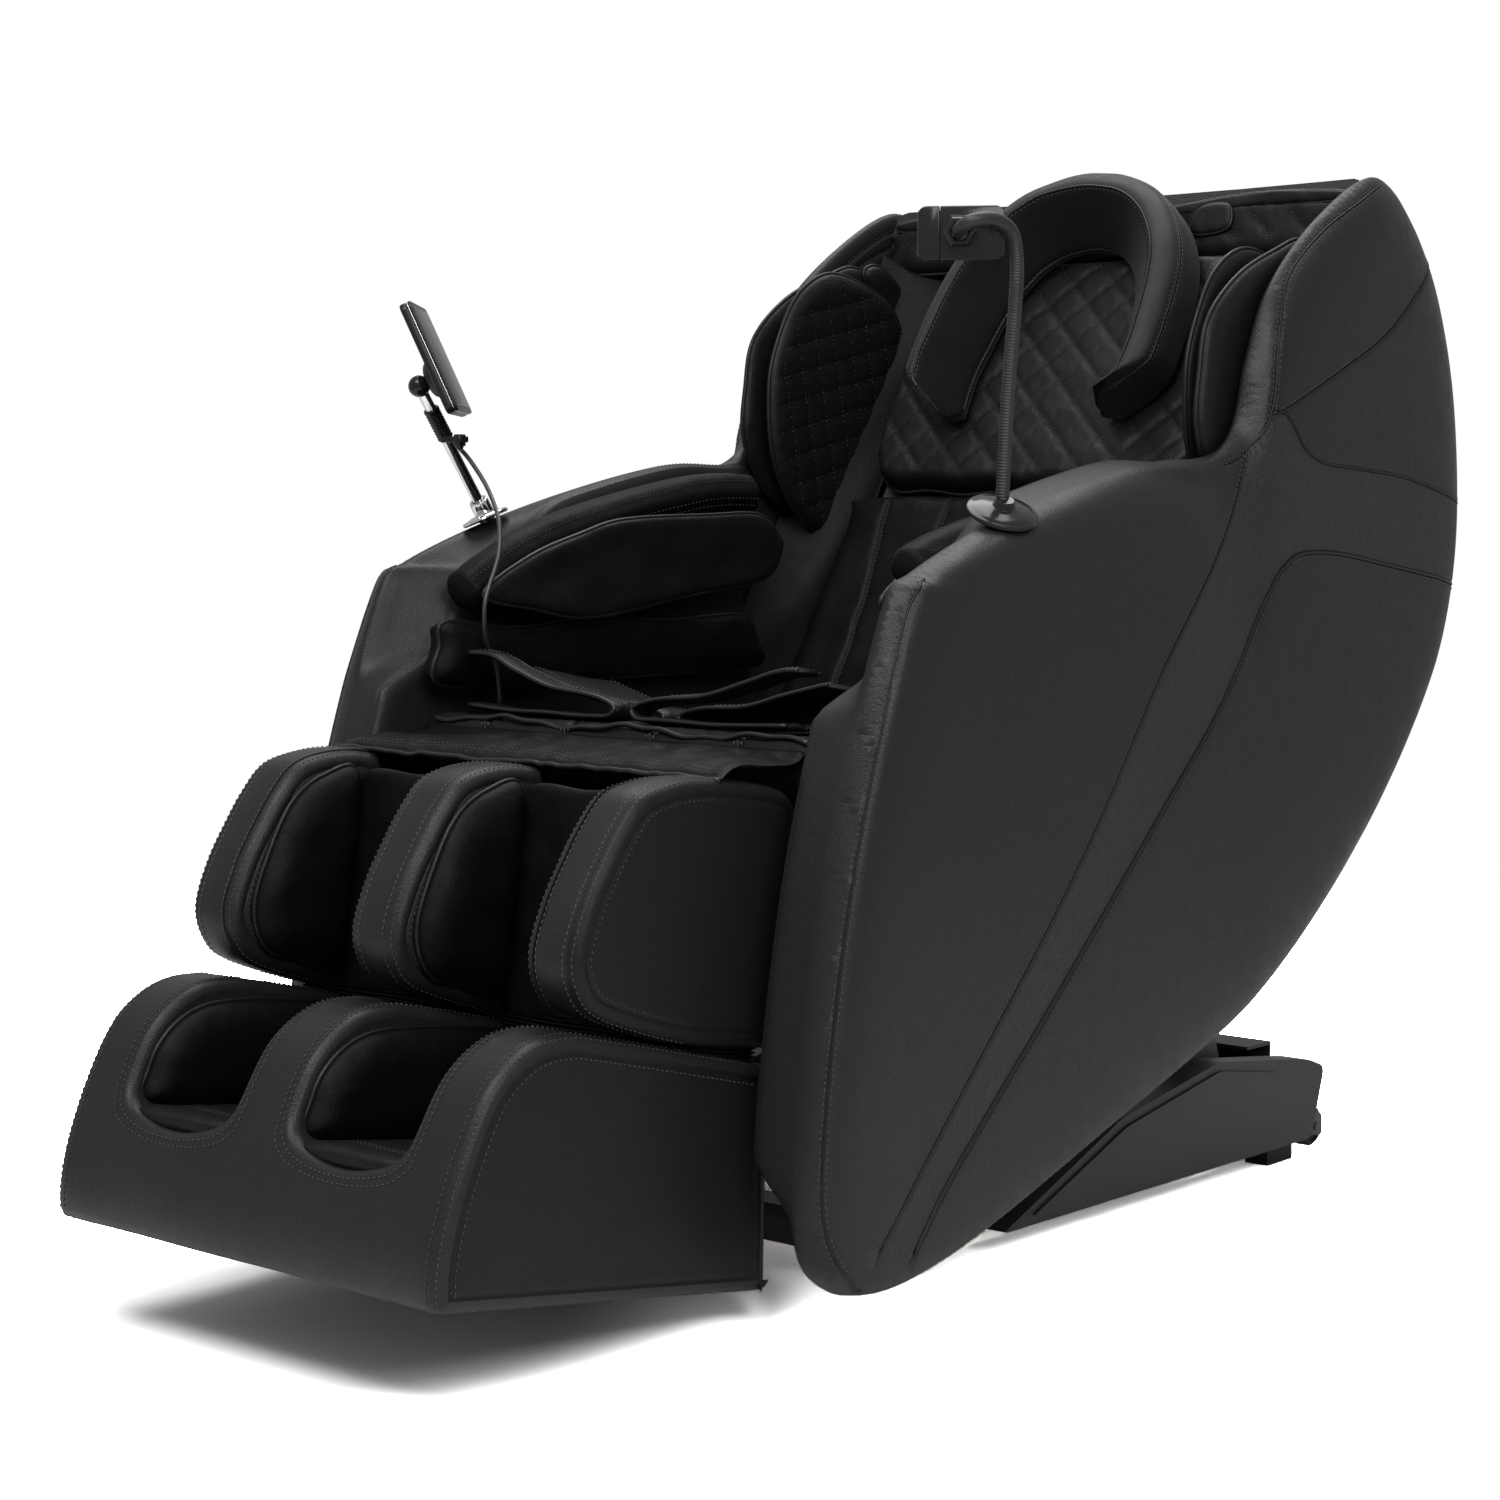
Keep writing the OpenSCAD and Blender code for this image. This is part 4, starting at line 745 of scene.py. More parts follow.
def stuffed(shape, loop, at, front, back, edge, step=9.0, lines=(), quilt=None, pucker=0.8, fold=0.0, material=0,
            pipe=2.2, pipe_material=1, sew=2, seed=0.0, crown=0.0, groove=2.2):
    # a filled pad over a flat outline: its faces swell away from the piped edge, with sewn lines
    loop = evenly(curve(loop, 6, True), step * 0.8, True)
    rings = [inset(loop, edge * f) for f in (0.06, 0.2, 0.42, 0.75)]
    flat, tri = panel(loop, lines, step, rings, sides=(1.6, 4.0, 8.0) if step > 5 else (1.6, 4.0))
    d = away(flat, looped(loop))
    swell = round_up(d / edge)
    grown = 1 - np.exp(-d / 60)
    ripple = np.array([wobble(u / 13 + seed, v / 13, seed) for u, v in flat])
    slow = np.array([wobble(u / 55 + seed, v / 38, seed + 3) for u, v in flat])
    height = front * swell + crown * grown + pucker * ripple * np.exp(-((d - 9) / 12) ** 2) * swell
    height += fold * slow * swell
    if len(lines):
        near = np.min([away(flat, q) for q in lines], axis=0)
        height -= groove * np.exp(-(near / 3.0) ** 2) * swell
        height += pucker * 0.6 * ripple * np.exp(-((near - 7) / 7) ** 2) * swell
    if quilt:
        pitch, turn, deep, low, high = quilt
        c, s = math.cos(math.radians(turn)), math.sin(math.radians(turn))
        a, b = flat[:, 0] * c + flat[:, 1] * s, -flat[:, 0] * s + flat[:, 1] * c
        cell = np.minimum(1, 1.25 * np.abs(np.sin(math.pi * a / pitch) * np.sin(math.pi * b / pitch)) ** 0.34)
        where = near_step(d, 6, 22) * near_step(flat[:, 1], low, low + 8) * (1 - near_step(flat[:, 1], high - 8, high))
        height += deep * (cell - 1) * where
    n, count = len(loop), len(flat)
    height[:n] = 0
    top, under = at(np.column_stack([flat, height])), at(np.column_stack([flat, -back * swell]))
    shape.add(np.vstack([top, under[n:]]),
              tri + [tuple(i if i < n else count + i - n for i in reversed(q)) for q in tri], material)
    if pipe:
        shape.tube(at(np.column_stack([loop, np.zeros(n)])), pipe, 7, closed=True, material=pipe_material)
    if sew is None:
        return
    rows = []
    if quilt:
        reach = float(np.abs(loop).max()) * 1.6
        g = np.arange(-reach, reach, 3.0)
        for k in range(int(-reach / pitch) - 1, int(reach / pitch) + 2):
            level = np.full(len(g), k * pitch)
            for a, b in ((level, g), (g, level)):
                line = np.column_stack([a * c - b * s, a * s + b * c])
                keep = inside(line, inset(loop, 9)) & (line[:, 1] > low + 4) & (line[:, 1] < high - 4)
                for part in np.split(np.arange(len(g)), np.flatnonzero(np.diff(keep.astype(int))) + 1):
                    if len(part) > 4 and keep[part[0]]:
                        rows.append(line[part])
    for q in lines:
        q = evenly(q, 4.0)
        for off in (-4.2, 4.2):
            part = q + beside(q) * off
            part = part[inside(part, inset(loop, 3))]
            if len(part) > 4:
                rows.append(part)
    for q in rows:
        h = np.array([height[np.argmin(((flat - p) ** 2).sum(1))] for p in q])
        h = np.convolve(np.pad(h, 2, mode="edge"), np.ones(5) / 5, mode="valid")
        p = at(np.column_stack([q, h]))
        shape.stitches(p, at(np.column_stack([q, h + 1.0])) - p, sew, length=4.0, pitch=6.0, radius=0.55)


cushion = Shape()
seat_loop = [(-266, 2), (-130, -1), (0, 0), (130, -1), (266, 2), (270, 40), (270, 240), (268, 440), (250, 478),
             (0, 480), (-250, 478), (-268, 440), (-270, 240), (-270, 40)]
seat_lines = [np.array([(x, 3), (x, 30), (x * 1.01, 92)], float) for x in (-178, -60, 60, 178)]
seat_lines.append(curve([(-262, 94), (-178, 86), (-60, 96), (60, 88), (178, 95), (262, 88)], 6))
stuffed(cushion, seat_loop, lying(on_seat, -38), 37, 40, 15, 8.5, seat_lines,
        pucker=2.2, fold=1.6, pipe=0, groove=5.0)
wave = np.linspace(-262, 262, 90)
sag = -7 + 3.6 * np.sin(wave / 29 + 0.6) + 1.2 * np.sin(wave / 9)
front_line = np.column_stack([wave, 3.5 + 1.6 * np.sin(wave / 17), sag])
cushion.tube(on_seat(front_line), 2.8, 8, material=1)
for x in (-178, -60, 60, 178):
    z = np.linspace(-10, -62, 14)
    seam_line = np.column_stack([x + 1.5 * np.sin(z / 6), -0.5 - 1.2 * np.cos(z / 20), z])
    cushion.tube(on_seat(seam_line), 1.5, 6, material=3)
    for side in (-5, 5):
        cushion.stitches(on_seat(seam_line + (side, 0.2, 0)), np.tile((0, -1, 0), (len(z), 1)), 2)
cushion.build("seat_cushion_cover", [quilt_leather, light_edge, thread, piping], outward=False)
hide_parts("seat_cushion")

# the leather flap runs from under the cushion's piping over the knee joint onto the calf rest
flap = Shape()
drop_line = evenly(curve([(-306, 553), (-315, 550), (-322, 545.5), (-338, 543), (-360, 543.5), (-384, 545),
                          (-408, 544.5), (-426, 542), (-440, 536)], 6), 4.5)
drop_n = -beside(drop_line)
drop_n *= np.sign(drop_n[len(drop_n) // 2, 1])
across = np.linspace(-1, 1, 96)
n_rows, n_cols = len(drop_line), len(across)
rows = []
for face in (1, -1):
    for i, (q, n) in enumerate(zip(drop_line, drop_n)):
        part = i / (n_rows - 1)
        half = 262 + 5 * part
        ruck = np.array([3.6 * wobble(u * 7 + 0.9 * part, part * 2.2, 2.0) + 1.8 * wobble(u * 21, part * 4.5, 7.0) +
                         1.8 * math.sin(u * 31 + 3 * part) * (1 - part) ** 0.6 + 1.4 for u in across])
        thick = 2.4 * round_up(min(i, n_rows - 1 - i) * 4.5 / 3) * round_up((1 - np.abs(across)) * half / 3)
        high = np.maximum(ruck * near_step(part, 0.02, 0.2), -1.2) + 1.6 + face * thick
        rows.append(np.column_stack([across * half, q[0] + n[0] * high, q[1] + n[1] * high]))
flap.slab(np.vstack(rows[:n_rows]), np.vstack(rows[n_rows:]), n_cols)
flap.tube((rows[n_rows - 1] + rows[-1]) / 2, 2.6, 8, material=1)
for back in (3, 5):
    flap.stitches(rows[n_rows - 1 - back] + (0, 0, 0.2), np.tile((0, -0.2, 1), (n_cols, 1)), 2)
flap.build("knee_flap", [pad_leather, light_edge, thread], body=None, outward=True)
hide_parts("knee_apron")
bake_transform(bpy.context.object)

# ---- back cushions and side linings ----
# A plain pleated pad behind the waist and a diamond-quilted pad behind the shoulders, foam in
# soft leather, hung on the back rails; curved linings and a cloth strip close the gaps round them.
lower = Shape()
waist_loop = [(-244, 18), (0, 16), (244, 18), (250, 60), (250, 340), (244, 388), (0, 392), (-244, 388), (-250, 340),
              (-250, 60)]
waist_lines = [curve([(s * 82, 20), (s * 74, 120), (s * 88, 240), (s * 96, 388)], 8) for s in (-1, 1)]
waist_lines += [curve([(s * 168, 20), (s * 160, 150), (s * 172, 270), (s * 190, 388)], 8) for s in (-1, 1)]
stuffed(lower, waist_loop, facing(on_back, 30), 26, 12, 30, 9.0, waist_lines,
        pucker=1.8, fold=4.0, pipe=2.0, groove=5.0, seed=2.3)
lower.build("waist_pad", [pad_leather, piping, thread])
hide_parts("back_pad_lower")

quilted = Shape()
quilted_loop = [(-226, 420), (-244, 470), (-249, 560), (-244, 650), (-214, 712), (-150, 722), (0, 722), (150, 722),
                (214, 712), (244, 650), (249, 560), (244, 470), (226, 420), (196, 402), (150, 404), (96, 398),
                (46, 402), (0, 397), (-46, 402), (-96, 398), (-150, 404), (-196, 402)]
stuffed(quilted, quilted_loop, facing(on_back, 28), 29, 12, 15, 4.6, quilt=(40.0, 47.0, 3.6, 406, 722),
        pucker=0.9, fold=1.6, pipe=2.6, crown=4.0, seed=5.1)
quilted.build("quilted_back_pad", [quilt_leather, light_edge, thread])
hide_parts("back_pad_quilted")

linings = Shape()
for s in (-1, 1):
    rows = []
    for z in np.linspace(30, 735, 46):
        for t in np.linspace(0, 1, 34):
            ease = math.sin(math.pi * t)
            y = 34 - 46 * t ** 2.2 + 3.2 * math.sin(z / 47 + 4 * t) * ease + 2.2 * abs(math.sin(z / 58.0)) * ease
            rows.append((s * (236 + 103 * t), y, z))
    linings.slab(on_back(rows), on_back(np.array(rows) + (0, 5.0, 0)), 34, s < 0)
# a cloth strip closes the slot between the cushion and the waist pad
u, t = (q.ravel() for q in np.meshgrid(np.linspace(-238, 238, 40), np.linspace(0, 1, 9)))
ease = np.sin(math.pi * t)
strip = np.column_stack([u, 152 + 46 * t, 470 - 9 * ease + 1.6 * np.sin(u / 19.0) * ease - 2 * t])
linings.slab(strip, strip - (0, 0, 2.0), 40)
linings.build("side_linings", [pad_leather], outward=True)

# ---- hood liner ----
# Soft quilted lining between the wings above the back pad, with a folded leather tab that
# fastens the head pillow.
hood = Shape()


def hood_place(p):
    # the lining leans forward from the pad's top up to the inside of the rear shell
    rise = np.clip((p[:, 1] - 724) / 60, 0, 1.2)
    middle = 20 - rise * (14 + 16 * (p[:, 0] / 339) ** 2)
    return on_back(np.stack([p[:, 0], middle - p[:, 2], p[:, 1]], axis=-1))


hood_loop = [(-334, 728), (-337, 752), (-336, 771), (-240, 780), (-120, 787), (0, 790), (120, 787), (240, 780),
             (336, 771), (337, 752), (334, 728), (250, 724), (0, 724), (-250, 724)]
stuffed(hood, hood_loop, hood_place, 12, 12, 12, 6.0, quilt=(36.0, 45.0, 4.0, 726, 786),
        pucker=1.0, fold=2.0, pipe=2.4, seed=7.7)
for x0, x1 in ((-320, -70), (60, 320)):
    half_way = (x0 + x1) / 2
    tab = [(x0, 772), (x0 + 4, 784), (half_way, 794), (x1 - 4, 790 if x0 < 0 else 784), (x1, 774), (half_way, 777)]
    stuffed(hood, tab, lambda p: hood_place(p) + np.array([0, -7.0, 3.0]), 5, 4, 6, 7.0, pucker=1.6, fold=2.4, pipe=1.8,
            pipe_material=1, seed=8.4)
stuffed(hood, [(118, 752), (122, 776), (140, 784), (168, 780), (172, 756), (146, 748)],
        lambda p: hood_place(p) + np.array([0, -13.0, 4.0]), 4, 3, 5, 6.0, pucker=1.0, fold=1.0, pipe=1.6,
        pipe_material=1, seed=8.9)
hood.build("hood_lining", [quilt_leather, light_edge, thread])
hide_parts("hood_liner")

# ---- head pillow ----
# A horseshoe pillow of soft foam that hangs over the quilted pad: smooth leather round its
# outside, a darker brushed cover on the hollow inner side, and piped seams between them.
pillow_leather = leather("pillow_leather", (0.0155, 0.0155, 0.016), 0.5, 620.0, 0.3, 0.2, sheen=0.05, specular=0.16)
pillow_inner = leather("pillow_inner", (0.0036, 0.0036, 0.0038), 0.7, 760.0, 0.35, 0.2, sheen=0.05, specular=0.08)
r0 = 137.0
pillow_at, pillow_wide, pillow_deep = -44.3, 42, 37.8
route = curve([(-r0 + 4, 466), (-r0 - 2, 500), (-r0 - 4, 560), (-r0 + 12, 665), (-r0 * 0.55, 735), (0, 758),
               (r0 * 0.55, 735), (r0 - 12, 665), (r0 + 4, 560), (r0 + 2, 500), (r0 - 4, 466)], 9)
route = evenly(route, 9.0)
n_route = len(route)
run = np.linspace(0, 1, n_route)
tip = np.minimum(run, 1 - run) * (n_route - 1) * 9.0
outs = beside(route)
pillow = Shape()
# section of the pillow: u out from the horseshoe's middle, h to the front
outline = [(1.0, -0.5), (0.99, 0.1), (0.93, 0.5), (0.80, 0.74), (0.55, 0.91), (0.27, 0.99), (0.14, 0.92), (-0.12, 0.60),
           (-0.42, 0.20), (-0.72, -0.22), (-0.95, -0.60), (-0.95, -0.9), (-0.6, -1.0), (0.0, -1.0), (0.7, -0.97),
           (0.96, -0.82)]
section = evenly(curve(outline, 6, True), 0.118, True)
sides = len(section)
corner_at = [int(np.argmin(((section - q) ** 2).sum(1))) for q in ((0.93, 0.5), (0.2, 0.97), (-0.95, -0.72))]
verts = []
for i in range(n_route):
    reach = min(1.0, -0.55 + 1.6 * near_step(tip[i], -14, 78))
    close = round_up((tip[i] + 0.8) / 12, 0.03)
    fat = 0.86 + 0.14 * near_step(tip[i], 30, 190)
    for k, (u, h) in enumerate(section):
        bumpy = 0.02 * wobble(run[i] * 26, k * 0.4, 1.7)
        dent = sum(0.05 * math.exp(-((k - e) / 0.9) ** 2) for e in corner_at)
        u = min(u, reach) if u > -0.4 else u
        u, h = u * (1 - dent) + bumpy, h * (1 - dent) + bumpy
        u, h = -0.5 + (u + 0.5) * close, -0.25 + (h + 0.25) * close
        x, z = route[i] + outs[i] * pillow_wide * u * fat
        verts.append((x, pillow_at - pillow_deep * h * (0.94 + 0.06 * fat), z))
faces = [(a, d, c, b) for a, b, c, d in quads(n_route, sides)]
marks = [1 if corner_at[1] <= k < corner_at[2] else 0 for i in range(n_route - 1) for k in range(sides)]
verts = np.array(verts)
ends = [verts[:sides].mean(0), verts[-sides:].mean(0)]
verts = np.vstack([verts, ends])
faces += caps(n_route, sides)
marks += [0] * (2 * sides)
pillow.add(on_back(verts), faces, marks)
centre = np.column_stack([route[2:-2, 0], np.full(n_route - 4, pillow_at), route[2:-2, 1]])
for k in corner_at:
    line = verts[[i * sides + k for i in range(2, n_route - 2)]]
    pillow.tube(on_back(centre + (line - centre) * 1.01), 1.7, 6, material=2)
    for turn in (-1, 1):
        row = verts[[i * sides + (k + turn) % sides for i in range(2, n_route - 2)]]
        part = line + (row - line) * 0.8
        pillow.stitches(on_back(part), on_back(part) - on_back(centre), 3, radius=0.6)
pillow.build("head_pillow_cover", [pillow_leather, pillow_inner, piping, thread], angle=62, outward=True)
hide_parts("head_pillow")

# ---- shoulder pads ----
# Three piped air pads on the inner face of each wing: a plain one sewn to the wing, a leaf-shaped
# quilted one in front of it and a small three-cornered one above.
plain_loop = [(270, 930), (286, 990), (346, 1040), (424, 1072), (476, 1086), (520, 1066), (548, 1000), (545, 900),
              (500, 822), (430, 784), (352, 780), (296, 814), (266, 870)]
quilted_leaf = [(284, 932), (302, 990), (338, 1044), (392, 1072), (450, 1066), (516, 1040), (550, 994), (554, 940),
                (538, 864), (492, 802), (430, 766), (376, 752), (322, 790), (290, 850)]
small_loop = [(486, 1078), (508, 1090), (540, 1078), (572, 1050), (566, 1022), (538, 1016), (512, 1040)]
for s, name in ((1, "left"), (-1, "right")):
    wing = Shape()
    stuffed(wing, plain_loop, beside_seat(s, 326), 9, 12, 20, 9.0, pucker=1.6, fold=2.4, pipe=2.8, seed=1.1)
    stuffed(wing, quilted_leaf, beside_seat(s, 300), 11, 9, 22, 5.0, quilt=(33.0, 12.0, 3.4, 700, 1100), pucker=1.0,
            pipe=2.8, seed=4.2)
    stuffed(wing, small_loop, beside_seat(s, 316), 9, 8, 14, 7.0, pucker=1.2, fold=1.6, pipe=2.4, seed=6.3)
    wing.build("shoulder_pads_" + name, [quilt_leather, piping, thread], outward=True)
    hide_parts("shoulder_pads_" + name)

# ---- arm rolls and forearm pockets ----
# Along the inside of each arm runs a padded roll with lengthwise seams; from it hangs a flap with
# a bound edge, and a soft lower pad makes the forearm's pocket.
rolls = Shape()
near_start, near_drop = -176, 15.0
roll_line = ((0.14, 0.82), (0.21, 0.87), (0.29, 0.905), (0.44, 0.945), (0.53, 0.948))
line = curve([(leaf_front + leaf_long * a, b * arm_level) for a, b in roll_line], 16)
n_line = len(line)
n = beside(line)
for s in (-1, 1):
    verts, sides = [], 36
    first = 0 if s < 0 else int(np.argmax(line[:, 0] > near_start))
    for i in range(first, n_line):
        end = min(i - first, n_line - 1 - i) * 9.0
        r = 25.5 * round_up((end + 1.0) / 22, 0.03)
        for k in range(sides):
            a = 2 * math.pi * k / sides
            lobes = 1 - 0.085 * (1 - abs(math.sin(a * 3.5 + 0.4)) ** 0.5)
            bumpy = 1 + 0.04 * wobble(i * 0.32, k * 0.35, s * 3.0)
            rr = min(26.0, r * lobes * bumpy)
            p = line[i] + n[i] * (rr * math.sin(a) - near_drop * (s > 0))
            verts.append((s * (268.7 + rr * math.cos(a)), p[0], p[1]))
    faces = quads(n_line - first, sides) + caps(n_line - first, sides)
    verts = np.array(verts)
    rows = verts.reshape(-1, sides, 3)
    for k in (12, 14, 19, 21):
        rolls.stitches(rows[2:-2, k], rows[2:-2, k] - rows.mean(1)[2:-2], 1, radius=0.6)
    verts = np.vstack([verts, [verts[:sides].mean(0), verts[-sides:].mean(0)]])
    rolls.add(verts, faces)
# the rolls take the darker copy of the soft leather: painted shade
rolls.build("arm_rolls_cover", [shaded_roll_leather, thread], outward=True)
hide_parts("arm_rolls")

pockets = Shape()
flap_loop = [(-262, 693), (-190, 733), (-110, 757), (-40, 772), (100, 776), (190, 776), (226, 752), (232, 735),
             (199, 700), (60, 683), (-99, 664), (-190, 676)]
pad_loop = [(-296, 596), (-300, 640), (-292, 664), (-190, 654), (-60, 660), (60, 654), (190, 656), (214, 630),
            (222, 596), (100, 593), (-100, 593)]
for s in (-1, 1):
    short = 1.0 if s < 0 else 0.8
    stuffed(pockets, [(230 - (230 - a) * short, b) for a, b in flap_loop],
            lambda p: np.stack([s * (235.4 - p[:, 2] - 4 * near_step(-p[:, 1], -720, -660)), p[:, 0], p[:, 1]],
                               axis=-1), 6, 5, 8, 8.0, pucker=0.8, fold=2.4, pipe=2.6, seed=9.0 + s)
    # the lower pad takes material 4, the darker copy of the soft leather: painted shade
    stuffed(pockets, [(222 - (222 - a) * (short - 0.02 * (s > 0)), b) for a, b in pad_loop],
            beside_seat(s, 262), 15, 30, 24, 8.0, pucker=2.2, fold=4.0,
            pipe=2.6, pipe_material=3, seed=11.0 + s, material=4)
pockets.build("forearm_pockets", [soft_leather, light_edge, thread, piping, shaded_roll_leather], outward=True)
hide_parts("arm_pockets")

# ---- seat wraps ----
# Two padded thigh wraps folded back on themselves across the seat, each with a narrow strap in
# front of it, thin foam between leather with bound edges.
wraps = Shape()
strips = ((-1, 84, 222, 0.0), (1, 78, 216, 0.0), (-1, 16, 50, 9.0), (1, 14, 48, 7.0))
for s, y0, y1, lift in strips:
    fold = curve([(216 + lift, 8), (150, 4.5), (90, 4.5), (44, 4.5), (20, 6.5), (13.5, 13), (21, 20),
                  (56, 25 + lift * 0.2), (112, 30 + lift * 0.4), (160, 42 + lift * 0.6), (200, 53 + lift),
                  (216 + lift * 2, 55 + lift)], 6)
    up = beside(fold)
    cross = np.linspace(0, 1, 22)
    verts, half = [], 3.4
    ring = [(c, 1) for c in cross] + [(c, -1) for c in cross[::-1]]
    for i in range(len(fold)):
        taper = 1 - 0.16 * math.sin(math.pi * i / (len(fold) - 1)) ** 6
        for c, face in ring:
            rim = round_up(min(c, 1 - c) * (y1 - y0) / 9)
            y = (y0 + y1) / 2 + (c - 0.5) * (y1 - y0) * taper
            h = half * rim * face * (1 + 0.25 * wobble(i * 0.25, c * 5, s * 2.0 + face))
            q = fold[i] + up[i] * h + (0, 1.2 * wobble(i * 0.16, c * 2.5, s + 5.0))
            verts.append((s * q[0], y, max(0.6, q[1])))
    m = len(ring)
    faces = quads(len(fold), m)
    faces += [tuple(range(m)), tuple(range((len(fold) - 1) * m, len(fold) * m))[::-1]]
    verts = np.array(verts)
    wraps.add(on_seat(verts), faces)
    upright = on_seat(np.array([[0, 0, 1.0]])) - on_seat(np.zeros((1, 3)))
    for k in (0, len(cross) - 1):
        edge_line = (verts[k::m] + verts[m - 1 - k::m]) / 2
        edge_line[:, 2] = np.maximum(edge_line[:, 2], 3.0)
        wraps.tube(on_seat(edge_line), 2.5, 7, material=1)
        inner = edge_line + np.array([0, 9.0 if k == 0 else -9.0, 4.2])
        wraps.stitches(on_seat(inner[42:]), np.tile(upright, (len(inner[42:]), 1)), 2)
wraps.build("thigh_wraps", [soft_leather, light_edge, thread], outward=True)
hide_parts("seat_wraps")

# ---- calf rest ----
# Three foam-covered walls on a steel pan make two troughs for the calves. Each wall is wrapped in a
# leather band with double stitching and closed by side panels; piped air pads line the troughs.
leg_half = 270.0
wall_in, wall_out = 203.3, 217.4
calf_profile = [(-66, -211), (-130, -204), (-200, -190), (-230, -174), (-247, -139), (-238, -92), (-220, -50),
                (-202, -16), (-179, 13), (-139, 29), (-90, 34), (-66, 20), (-62, -90)]


def wall(shape, profile, x0, x1, radii):
    # a padded wall between two planes: rounded edges, a sewn band over the rim and stitched side panels
    loop = evenly(curve(profile, 8, True), 7.0, True)
    border = looped(loop)
    m = len(loop)
    n2 = loop - inset(loop, 1.0)
    faces_at = []
    for x, sign, radius in ((x0, 1, radii[0]), (x1, -1, radii[1])):
        rings = [inset(loop, d) for d in (1.0, 2.2, 4.0, 6.5, 9.5, 13.0, 15.6, 18.4, 23.0)] if radius > 3 else []
        flat, tri = panel(loop, [], 14.0, rings)
        d = away(flat, border)
        d[:m] = 0
        fall = radius * (1 - round_up(d / radius))
        if radius > 3:
            fall += 1.6 * np.exp(-((d - radius - 2.6) / 1.7) ** 2) - 0.5 * np.exp(-((d - radius - 9) / 5) ** 2)
        faces_at.append(len(shape.v))
        # faces at the leg rest's outer sides take material 2, the darker copy of the shell leather: painted shade
        shape.add(on_leg(np.column_stack([x + sign * fall, flat])), tri, 2 if abs(x) == leg_half else 0)
    rows = faces_at[:1]
    for x in np.linspace(x0 + radii[0], x1 - radii[1], 8)[1:-1]:
        swell = 1.3 * math.sin(math.pi * (x - x0 - radii[0]) / (x1 - x0 - radii[0] - radii[1]))
        rows.append(shape.put(on_leg(np.column_stack([np.full(m, x), loop + n2 * swell]))))
    shape.bridge(rows + faces_at[1:], m)
    order = np.flatnonzero(loop[:, 0] < -84)
    gap_at = np.flatnonzero(np.diff(order) > 1)
    if len(gap_at):
        order = np.concatenate([order[gap_at[0] + 1:], order[:gap_at[0] + 1]])
    for x, sign, radius in ((x0, 1, radii[0]), (x1, -1, radii[1])):
        if radius > 3:
            for px, d, nx in ((radius + 3.4, -0.7, 0.0), (radius * 0.5, radius * 0.11, -0.7 * sign),
                              (0.1, radius + 6.4, -sign)):
                row = np.column_stack([np.full(m, x + sign * px), inset(loop, d)])[order]
                up = np.column_stack([np.full(m, nx), n2 * (1 if px > 1 else 0.02)])[order]
                shape.stitches(on_leg(row), on_leg(up) - on_leg(np.zeros((1, 3))), 1)


calf = Shape()
calf_side = [(24, -212)] + calf_profile[:10] + [(-100, 36), (-60, 38), (0, 37), (29, 28), (43, 4), (46, -60),
                                                (46, -190), (41, -207)]
for profile, x0, x1, radii in ((calf_profile, -33.3, 33.3, (13, 13)),
                               (calf_profile, -wall_out, -wall_in, (1.0, 13)),
                               (calf_side, -leg_half, -wall_out, (13, 1.0)),
                               (calf_profile, wall_in, wall_out, (13, 1.0)),
                               (calf_side, wall_out, leg_half, (1.0, 13))):
    wall(calf, profile, x0, x1, radii)
calf.build("calf_rest_cover", [shell_leather, thread, shaded_side_leather], "calf_rest", angle=55, outward=True)
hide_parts("calf_shell")

troughs = Shape()
trough_loop = [(-108, -184), (-160, -180), (-203, -172), (-224, -132), (-214, -80), (-190, -24), (-152, 6), (-108, 12),
               (-104, -90)]
for s in (-1, 1):
    stuffed(troughs, [(s * 36, -200), (s * 118, -205), (s * 200, -200), (s * 200, -100), (s * 200, 8), (s * 118, 16),
                      (s * 36, 8), (s * 36, -100)], facing(on_leg, -100), 5, 40, 14, 9.0, pucker=1.4, fold=3.0, pipe=0)
    for x, sign in ((33.8, 1), (202.8, -1)):
        stuffed(troughs, trough_loop, on_wall(s, x, sign), 20, 4, 34, 8.0, pucker=1.8,
                fold=3.0, pipe=2.6, pipe_material=1, seed=x + s)
troughs.build("calf_air_pads", [pad_leather, piping, thread], "calf_rest", outward=True)
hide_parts("calf_pads")

pan = Shape()
for s in (-1, 1):
    x0, x1 = s * 190.0, s * 199.5
    ring = [(-62, -118), (-20, -40), (14, -16), (20, 4), (12, 18), (0, 21), (-20, 16), (-62, -12)]
    verts = np.array([(x, a, b) for x in (x0, x1) for a, b in ring])
    m = len(ring)
    pan.add(on_leg(verts), quads(2, m) + [tuple(range(m))[::-1], tuple(range(m, 2 * m))])
    ring = [(-61, -30), (2, -46), (4, -60), (2, -74), (-61, -100)]
    m = len(ring)
    verts = np.array([(x, a, b) for x in (s * 13.0, s * 19.0) for a, b in ring])
    pan.add(on_leg(verts), quads(2, m) + [tuple(range(m))[::-1], tuple(range(m, 2 * m))])
plate = np.array([(x, y, z) for x in (-205, 205) for y in (-66, -58) for z in (-207, 16)], float)
pan.add(on_leg(plate), [(0, 1, 3, 2), (4, 6, 7, 5), (0, 4, 5, 1), (2, 3, 7, 6), (0, 2, 6, 4), (1, 5, 7, 3)])
frame_paint = finish_of("frame_paint", (0.03, 0.031, 0.034), 0.42, 0.25, 900.0)
pan.build("calf_pan", [frame_paint], "calf_rest", angle=30, outward=True)
